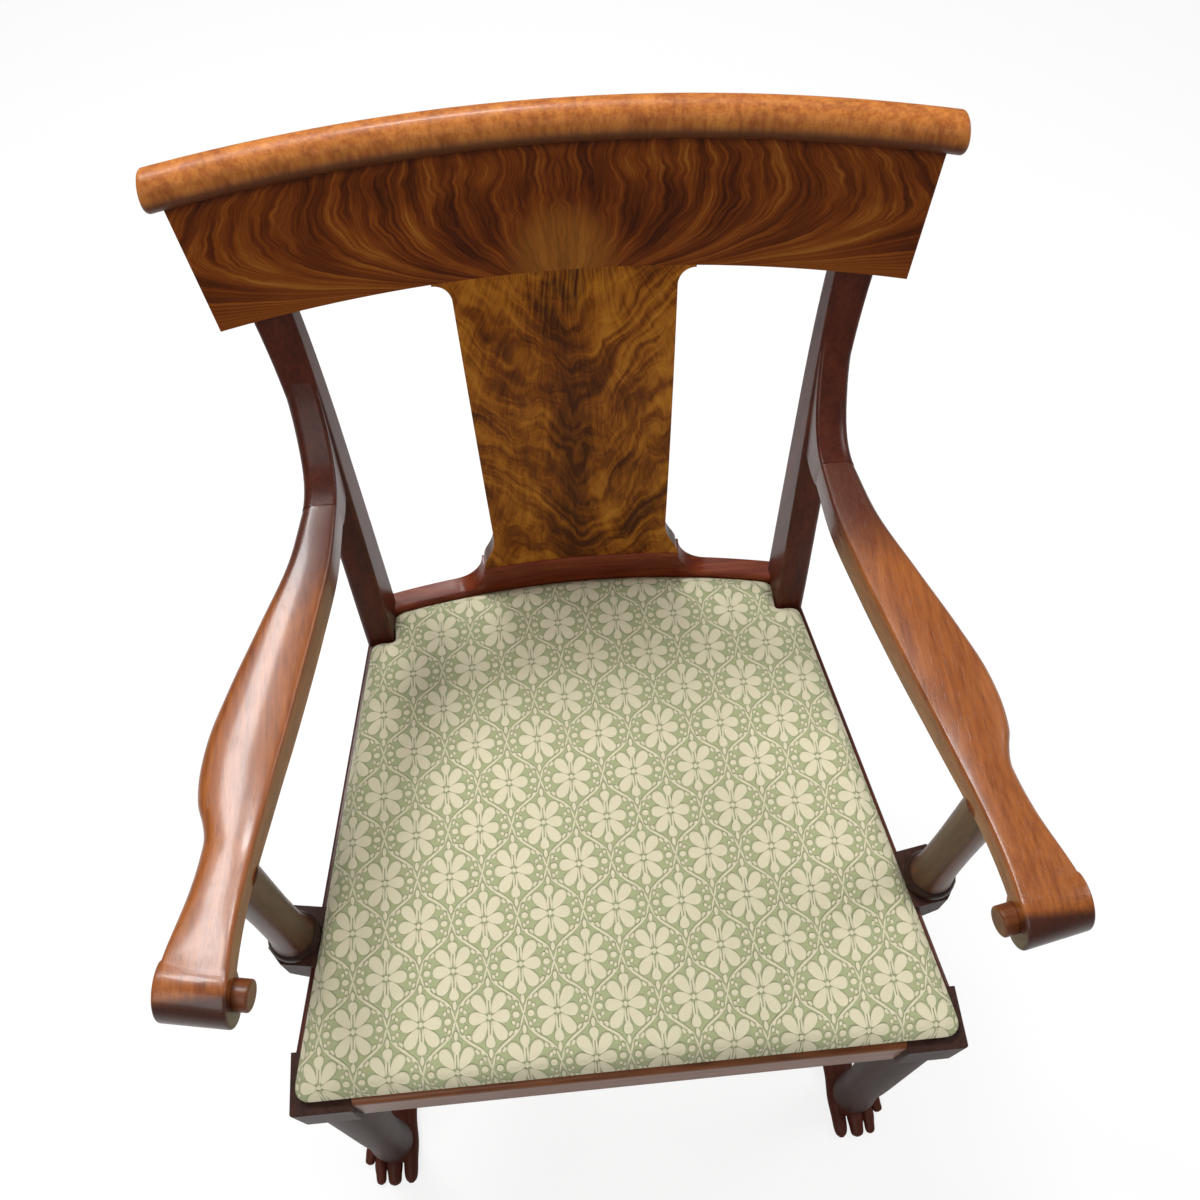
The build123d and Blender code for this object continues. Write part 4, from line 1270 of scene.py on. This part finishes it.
@dataclass
class RearRail:
    """Bowed rear rail with a ledge for the seat and a raised shoe with scooped ends under the splat."""

    shop: Woodshop
    axis: float = -664.0
    radius: float = 826.0
    thickness: float = 18.0
    ledge_depth: float = 12.0
    reach: float = 190.2
    low: float = 385.0
    ledge: float = 422.0
    top: float = 456.0
    shoe_top: float = 488.0
    shoe_half: float = 88.5
    scoop: float = 26.0
    edge: float = 3.0
    crease: float = 32.0
    shoe_gap: float = 4.0
    steps: tuple[int, int, int] = (24, 24, 16)

    def build(self) -> None:
        """Make the rail."""
        shell = Meshes.shell(self.sections() * MM)
        made = Meshes.joined("rear_seat_rail_moulded", [shell], self.crease)
        finish = self.shop.polish("mahogany_shoe", SHOE, Grain.ACROSS, gloss=0.34, specular=0.2)
        install(made, finish, "rear_seat_rail", FRAME_BODY)

    def sections(self) -> np.ndarray:
        """Sections along the bow: an L with an eased top edge, whose top climbs a quarter circle.

        Returns:
            Sections by corners by three, in millimetres.
        """
        shoe_end = self.shoe_half + self.scoop
        shoe, scoop, rail = self.steps
        flat = np.linspace(0.0, self.shoe_half, shoe, endpoint=False)
        scooped = self.shoe_half + self.scoop * (1.0 - arc(0.0, 90.0, scoop)[:, 0])
        plain = np.linspace(shoe_end + self.shoe_gap, self.reach, rail)
        half = np.concatenate([flat, scooped, plain])
        x = np.concatenate([-half[:0:-1], half])[:, None]
        climb = np.clip((shoe_end - np.abs(x)) / self.scoop, 0.0, 1.0)
        top = self.top + (self.shoe_top - self.top) * (1.0 - np.sqrt(1.0 - climb**2))
        drop, back = self.edge * (1.0 - arc(0.0, 90.0, 5)).T
        inner, outer = self.radius - self.ledge_depth, self.radius + self.thickness
        depth = np.concatenate([[inner, outer, outer], self.radius + back, [self.radius, inner]])
        low, ledge = np.full((len(x), 2), self.low), np.full((len(x), 2), self.ledge)
        z = np.concatenate([low, top, top - drop, ledge], axis=1)
        bow = np.arcsin(x / self.radius)
        return np.stack([depth * np.sin(bow), self.axis + depth * np.cos(bow), z], axis=-1)


# Settings of the cloth that puffs the cover.
PUFF = {
    "quality": 6,
    "mass": 0.3,
    "tension_stiffness": 20.0,
    "compression_stiffness": 20.0,
    "bending_stiffness": 2.0,
    "use_pressure": True,
    "uniform_pressure_force": 4.0,
    "vertex_group_mass": "held",
}


@dataclass
class DropInSeat:
    """Upholstered seat: the cover is one sheet from its hem over the shoulders to the crown.

    The tables hem, turn and pad_side are in millimetres: distance in from the edge, and level.
    """

    shop: Woodshop
    rail_front_x: float = 259.5 * MM
    rail_front_y: float = -233.0 * MM
    rail_slope: float = -56.8 / 350.0
    lip: float = 8.1 * MM
    front: float = -269.0 * MM
    notch_y: float = 113.0 * MM
    notch_x: float = 173.7 * MM
    rear: float = 161.0 * MM
    rear_radius: float = 826.0 * MM
    front_corner: float = 11.0 * MM
    notch_corner: float = 8.0 * MM
    corner_points: int = 9
    crown: float = 466.0 * MM
    crown_radius: float = 3.6
    middle_y: float = -53.0 * MM
    least_facing: float = 0.55
    hem: tuple[tuple[float, float], ...] = (
        (34.0, 422.3), (20.0, 422.3), (6.0, 422.3), (2.0, 422.6), (0.6, 423.6), (0.0, 425.5),
        (0.0, 431.0), (0.0, 437.0), (-0.8, 440.5), (-2.0, 443.0), (-2.4, 446.0),
    )
    turn: tuple[float, ...] = (-1.9, -0.4, 2.0, 5.5, 10.0, 16.0)
    shoulder: float = 2.4
    around: int = 480
    rings: int = 64
    soft_rings: int = 3
    puff_frames: int = 20
    puff_cap: float = 3.0 * MM
    pad_side: tuple[tuple[float, float], ...] = (
        (9.0, 0.0), (7.0, 0.4), (6.2, 2.0), (6.0, 4.0), (6.6, 6.0), (9.0, 7.6), (13.0, 8.2),
    )
    pad_low: float = 445.4 * MM
    pad_rings: int = 12
    pad_gap: float = 1.8 * MM
    scrim_margin: float = 11.0 * MM
    scrim_drop: float = 0.75 * MM
    scrim_thickness: float = 0.6 * MM
    scrim_rings: int = 10
    web_width: float = 50.0 * MM
    web_thickness: float = 1.2 * MM
    web_spacing: float = 88.0 * MM
    web_middle_y: float = -63.0 * MM
    web_level: float = 443.0 * MM
    web_rise: float = 0.75 * MM
    web_points: int = 61
    web_crease: float = 40.0
    band_margin: float = 22.0 * MM

    def build(self) -> None:
        """Make every soft piece of the seat."""
        self.cover()
        self.pad()
        self.scrim()
        self.bands(along_y=True)
        self.bands(along_y=False)

    def rail_x(self, y: float) -> float:
        """X of the side rail's face at a depth."""
        return self.rail_front_x + self.rail_slope * (y - self.rail_front_y)

    def outline(self) -> np.ndarray:
        """Plan of the cover's edge: straight runs joined by arcs, the rear run bowed.

        Returns:
            Points around the edge, counter-clockwise from above.
        """
        lip = self.lip * math.hypot(1.0, self.rail_slope)
        half = [
            (self.rail_x(self.front) - lip, self.front, self.front_corner),
            (self.rail_x(self.notch_y) - lip, self.notch_y, self.notch_corner),
            (self.notch_x, self.notch_y, self.notch_corner),
            (self.notch_x, self.rear, self.notch_corner),
        ]
        corners = np.array(half + [(-x, y, r) for x, y, r in reversed(half)])
        t = np.linspace(0.0, 1.0, self.corner_points)[:, None]
        runs = []
        befores, afters = np.roll(corners, 1, axis=0), np.roll(corners, -1, axis=0)
        for before, corner, after in zip(befores, corners, afters):
            here, radius = corner[:2], corner[2]
            back = (before[:2] - here) / np.linalg.norm(before[:2] - here)
            ahead = (after[:2] - here) / np.linalg.norm(after[:2] - here)
            opening = math.acos(float(np.clip(back @ ahead, -1.0, 1.0)))
            reach = radius / math.tan(opening / 2)
            start, end = here + back * reach, here + ahead * reach
            runs.append((1 - t) ** 2 * start + 2 * t * (1 - t) * here + t**2 * end)
        loop = np.concatenate(runs)
        closed = np.concatenate([loop, loop[:1]])
        length = np.concatenate([[0.0], np.cumsum(np.linalg.norm(np.diff(closed, axis=0), axis=1))])
        even = np.linspace(0.0, length[-1], self.around, endpoint=False)
        points = np.stack([np.interp(even, length, closed[:, axis]) for axis in (0, 1)], axis=1)
        bow = np.clip((points[:, 1] - self.notch_y) / (self.rear - self.notch_y), 0.0, 1.0)
        points[:, 1] -= bow * points[:, 0] ** 2 / (2 * self.rear_radius)
        return points

    def spread(self, inset: np.ndarray, inward: np.ndarray) -> np.ndarray:
        """Plan of rings drawn in from the edge.

        Args:
            inset: distance of each ring from the edge, square to it.
            inward: further share of the way to the middle.

        Returns:
            Rings by points by two.
        """
        edge = self.outline()
        middle = np.array([0.0, self.middle_y])
        spoke = edge - middle
        reach = np.linalg.norm(spoke, axis=1, keepdims=True)
        step = np.roll(edge, -1, axis=0) - np.roll(edge, 1, axis=0)
        normal = np.stack([step[:, 1], -step[:, 0]], axis=1) / np.linalg.norm(step, axis=1, keepdims=True)
        facing = np.clip((spoke * normal).sum(axis=1, keepdims=True) / reach, self.least_facing, 1.0)
        drawn = 1.0 - inset[:, None, None] / (reach * facing)
        return middle + spoke * drawn * (1.0 - inward[:, None, None])

    def dome(self, plan: np.ndarray) -> np.ndarray:
        """Level of the crown over a plan, a shallow sphere."""
        away = plan[..., 0] ** 2 + (plan[..., 1] - self.middle_y) ** 2
        return self.crown - away / (2 * self.crown_radius)

    def raised(self, name: str, plan: np.ndarray, level: np.ndarray) -> bpy.types.Object:
        """Object of rings over a plan, its faces outward."""
        points = np.concatenate([plan, level[..., None]], axis=-1)
        return Meshes.raw(name, *Meshes.shell(points[:, ::-1], caps=False))

    def cover(self) -> None:
        """Cover: hem under the frame, sides, a bulge over the rails, shoulders, then the crown."""
        hem, turn = np.array(self.hem) * MM, np.array(self.turn) * MM
        skirt = len(hem) + len(turn)
        share = np.linspace(0.0, 1.0, self.rings + 1)[1:]
        inset = np.concatenate([hem[:, 0], turn, np.full(self.rings, turn[-1])])
        plan = self.spread(inset, np.concatenate([np.zeros(skirt), share]))
        level = self.dome(plan)
        rise = 1.0 - ((turn[-1] - turn) / (turn[-1] - hem[-1, 0])) ** self.shoulder
        level[len(hem) : skirt] = hem[-1, 1] + (level[skirt - 1] - hem[-1, 1]) * rise[:, None]
        level[: len(hem)] = hem[:, 1:]
        steps = np.hypot(np.diff(inset), np.diff(level.mean(axis=1)))[: skirt - 1]
        path = np.concatenate([[0.0], np.cumsum(steps)])
        flat = plan.copy()
        flat[:skirt] = self.spread(turn[-1] - (path[-1] - path), np.zeros(skirt))
        made = self.raised("seat_cover_cloth", plan, level)
        self.unwrap(made, flat[:, ::-1])
        self.puff(made, skirt - self.soft_rings)
        install(made, self.shop.get(ROSETTES), "seat_cover", SEAT_BODY)

    def pad(self) -> None:
        """Stuffing: a crowned pad, flat where it rests on the hessian, with rounded sides."""
        side, count = np.array(self.pad_side) * MM, self.pad_rings
        share = np.linspace(0.0, 1.0, count)
        inset = np.concatenate([np.full(count, side[0, 0]), side[1:-1, 0], np.full(count, side[-1, 0])])
        plan = self.spread(inset, np.concatenate([share[::-1], np.zeros(len(side) - 2), share]))
        level = np.full(plan.shape[:2], self.pad_low)
        level[-count:] = self.dome(plan[-count:]) - self.pad_gap
        level[count:-count] += (level[-count] - self.pad_low) * (side[1:-1, 1] / side[-1, 1])[:, None]
        made = self.raised("seat_stuffing_pad", plan, level)
        install(made, self.shop.get(STUFFING), "seat_stuffing", SEAT_BODY)

    def scrim(self) -> None:
        """Hessian: one thin sheet, closed round its edge."""
        count = self.scrim_rings
        share = np.linspace(0.0, 1.0, count)
        plan = self.spread(np.full(2 * count, self.scrim_margin), np.concatenate([share[::-1], share]))
        level = np.full(plan.shape[:2], self.pad_low - self.scrim_drop)
        level[count:] += self.scrim_thickness
        made = self.raised("hessian_sheet", plan, level)
        edge = plan[count]
        after = np.roll(edge, -1, axis=0)
        area = abs(float((edge[:, 0] * after[:, 1] - edge[:, 1] * after[:, 0]).sum())) / 2
        span = edge.max(axis=0) - edge.min(axis=0)
        install(made, self.shop.get(HESSIAN), "hessian", SEAT_BODY)

    def bands(self, along_y: bool) -> None:
        """Three bands of webbing that pass over and under the other three.

        A band's level is a cosine along its length, one half wave for each crossing, and the sign
        changes from band to band and from one direction to the other. The section is a flat loop.

        Args:
            along_y: whether the bands run from front to back.
        """
        word = "lengthwise" if along_y else "crosswise"
        sign = 1.0 if along_y else -1.0
        shift, middle = (0.0, self.web_middle_y) if along_y else (self.web_middle_y, 0.0)
        low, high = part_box(f"webbing_{word}")
        half, thin = self.web_width / 2, self.web_thickness / 2
        loop = np.array([[-half, -thin], [half, -thin], [half, thin], [-half, thin]])[:: int(sign)]
        shells, length = [], 0.0
        for place in np.array([-1.0, 0.0, 1.0]) * self.web_spacing + shift:
            reach = self.rail_x(place) - self.lip - self.band_margin
            start, stop = (low[1], high[1]) if along_y else (-reach, reach)
            run = np.linspace(start, stop, self.web_points)[:, None]
            wave = sign * self.web_rise * np.cos(math.pi * (run - middle) / self.web_spacing)
            sideways = np.broadcast_to(place + loop[:, 0], (len(run), len(loop)))
            lengths = np.broadcast_to(run, sideways.shape)
            level = self.web_level + wave + loop[:, 1]
            order = (sideways, lengths, level) if along_y else (lengths, sideways, level)
            shells.append(Meshes.shell(np.stack(order, axis=-1)))
            length += float(np.ptp(run))
            sign = -sign
        made = Meshes.joined(f"webbing_{word}_bands", shells, self.web_crease)
        install(made, self.shop.get(WEBBING), f"webbing_{word}", SEAT_BODY)

    def unwrap(self, cover: bpy.types.Object, flat: np.ndarray) -> None:
        """Store each point's place on the cloth laid flat.

        Args:
            cover: the cover.
            flat: rows by columns by two, in metres.
        """
        layer = cover.data.uv_layers.new(name="flat")
        corner_points = np.empty(len(cover.data.loops), dtype=np.int32)
        cover.data.loops.foreach_get("vertex_index", corner_points)
        places = flat.reshape(-1, 2)
        layer.data.foreach_set("uv", places[corner_points].astype(np.float32).ravel())

    def puff(self, cover: bpy.types.Object, rows: int) -> None:
        """Inflate the crown a little with cloth held at the shoulders, and cap the movement.

        Args:
            cover: the cover.
            rows: rings from the hem that stay where they are.
        """
        scene = bpy.context.scene
        before = np.empty(len(cover.data.vertices) * 3, dtype=np.float32)
        after = np.empty_like(before)
        cover.data.vertices.foreach_get("co", before)
        held = cover.vertex_groups.new(name="held")
        held.add(list(range(rows * self.around)), 1.0, "REPLACE")
        soft = cover.modifiers.new("puff", "CLOTH")
        for key, setting in PUFF.items():
            setattr(soft.settings, key, setting)
        soft.settings.effector_weights.gravity = 0.0
        soft.collision_settings.use_collision = False
        for frame in range(1, self.puff_frames + 1):
            scene.frame_set(frame)
        shaped = cover.evaluated_get(bpy.context.evaluated_depsgraph_get())
        shaped.data.vertices.foreach_get("co", after)
        cover.modifiers.remove(soft)
        scene.frame_set(1)
        move = (after - before).reshape(-1, 3)
        size = np.linalg.norm(move, axis=1, keepdims=True)
        move *= np.minimum(1.0, self.puff_cap / np.maximum(size, 1e-9))
        cover.data.vertices.foreach_set("co", before + move.ravel())
        cover.data.update()
        log.info("cover moved up to %.1f mm", float(size.max()) / MM)


class Lamp(NamedTuple):
    """Square soft light: watts, side of the square, place, and height of the point that it faces."""

    name: str
    power: float
    size: float
    place: tuple[float, float, float]
    aim: float


@dataclass
class Studio:
    """Camera, lights and a pale floor."""

    lens: float = 35.93
    place: tuple[float, float, float] = (-0.030198, -0.397497, 1.426393)
    pitch: float = 1.06696454
    yaw: float = 0.0833822
    roll: float = -0.01355301
    sky: Colour = (1.0, 0.99, 0.97, 1.0)
    sky_strength: float = 0.22
    backdrop: Colour = (0.8, 0.8, 0.8, 1.0)
    floor_tint: Colour = (0.93, 0.93, 0.93, 1.0)
    floor_half: float = 6.0
    floor_glow: float = 1.08
    floor_share: float = 0.75
    lamps: tuple[Lamp, ...] = (
        Lamp("window", 20.0, 0.5, (-0.75, 0.80, 2.35), 0.5),
        Lamp("back", 20.0, 0.3, (-0.12, 1.15, 2.40), 0.5),
        Lamp("front", 18.0, 1.6, (-0.9, -1.5, 2.3), 0.5),
        Lamp("side", 10.0, 0.7, (1.5, 0.1, 1.7), 0.6),
    )

    def camera(self) -> None:
        """Camera at the photograph's place and angle."""
        flat = math.cos(self.pitch)
        ahead = Vector((math.sin(self.yaw) * flat, math.cos(self.yaw) * flat, -math.sin(self.pitch)))
        level = Vector((math.cos(self.yaw), -math.sin(self.yaw), 0.0))
        upright = level.cross(ahead)
        right = level * math.cos(self.roll) + upright * math.sin(self.roll)
        up = upright * math.cos(self.roll) - level * math.sin(self.roll)
        data = bpy.data.cameras.new("camera")
        data.lens = self.lens
        data.sensor_width = 36.0
        data.sensor_fit = "HORIZONTAL"
        data.clip_start = 0.01
        made = bpy.data.objects.new("camera", data)
        turn = Matrix((right, up, -ahead)).transposed().to_4x4()
        made.matrix_world = Matrix.Translation(self.place) @ turn
        bpy.context.scene.collection.objects.link(made)
        bpy.context.scene.camera = made

    def lights(self) -> None:
        """Even sky with soft lamps; the camera sees the backdrop instead of the sky."""
        world = bpy.data.worlds.new("studio")
        bpy.context.scene.world = world
        world.use_nodes = True
        air = Nodes(world.node_tree)
        seen = air.node("ShaderNodeLightPath", {}, {}, "Is Camera Ray")
        sky = air.tree.nodes["Background"]
        air.feed(sky.inputs["Color"], self.sky)
        air.feed(sky.inputs["Strength"], self.sky_strength)
        pale = air.node("ShaderNodeBackground", {}, {"Color": self.backdrop, "Strength": 1.0})
        mix = air.node("ShaderNodeMixShader", {}, [seen, Value(air, sky.outputs[0]), pale])
        air.feed(air.tree.nodes["World Output"].inputs["Surface"], mix)
        for lamp in self.lamps:
            data = bpy.data.lights.new(lamp.name, "AREA")
            data.energy = lamp.power
            data.size = lamp.size
            made = bpy.data.objects.new(lamp.name, data)
            aim = (Vector((0.0, 0.0, lamp.aim)) - Vector(lamp.place)).to_track_quat("-Z", "Y")
            made.matrix_world = Matrix.Translation(lamp.place) @ aim.to_matrix().to_4x4()
            bpy.context.scene.collection.objects.link(made)

    def floor(self) -> None:
        """Pale floor that keeps the chair's shadow."""
        signs = np.array([[-1.0, -1.0, 0.0], [1.0, -1.0, 0.0], [1.0, 1.0, 0.0], [-1.0, 1.0, 0.0]])
        made = Meshes.raw("floor", signs * self.floor_half, [[0, 1, 2, 3]])
        r = Recipe("pale_floor")
        r.set("Base Color", self.floor_tint)
        r.set("Roughness", 0.95)
        seen = r.node("ShaderNodeLightPath", {}, {}, "Is Camera Ray")
        glow = r.node("ShaderNodeEmission", {}, {"Color": "ffffff", "Strength": self.floor_glow})
        matt = Value(r, r.shader.outputs[0])
        mix = r.node("ShaderNodeMixShader", {}, [seen * self.floor_share, matt, glow])
        r.feed(r.tree.nodes["Material Output"].inputs["Surface"], mix)
        Meshes.dress(made, r.material)

    def set_up(self) -> None:
        """Build the studio."""
        self.camera()
        self.lights()
        self.floor()
        bpy.context.scene.view_settings.view_transform = "Standard"
        log.info("studio ready")


def main() -> None:
    """Load the part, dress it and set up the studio."""
    logging.basicConfig(level=logging.INFO, format="%(message)s")
    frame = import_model()
    shop = Woodshop()
    ChairFrame(frame["nodes"], shop).dress()
    for side in Side:
        ScrollArm(shop, side).build()
        ArmSupport(shop, side).build()
        FrontLeg(shop, side).build()
    RearRail(shop).build()
    DropInSeat(shop).build()
    Studio().set_up()


if __name__ == "__main__":
    main()
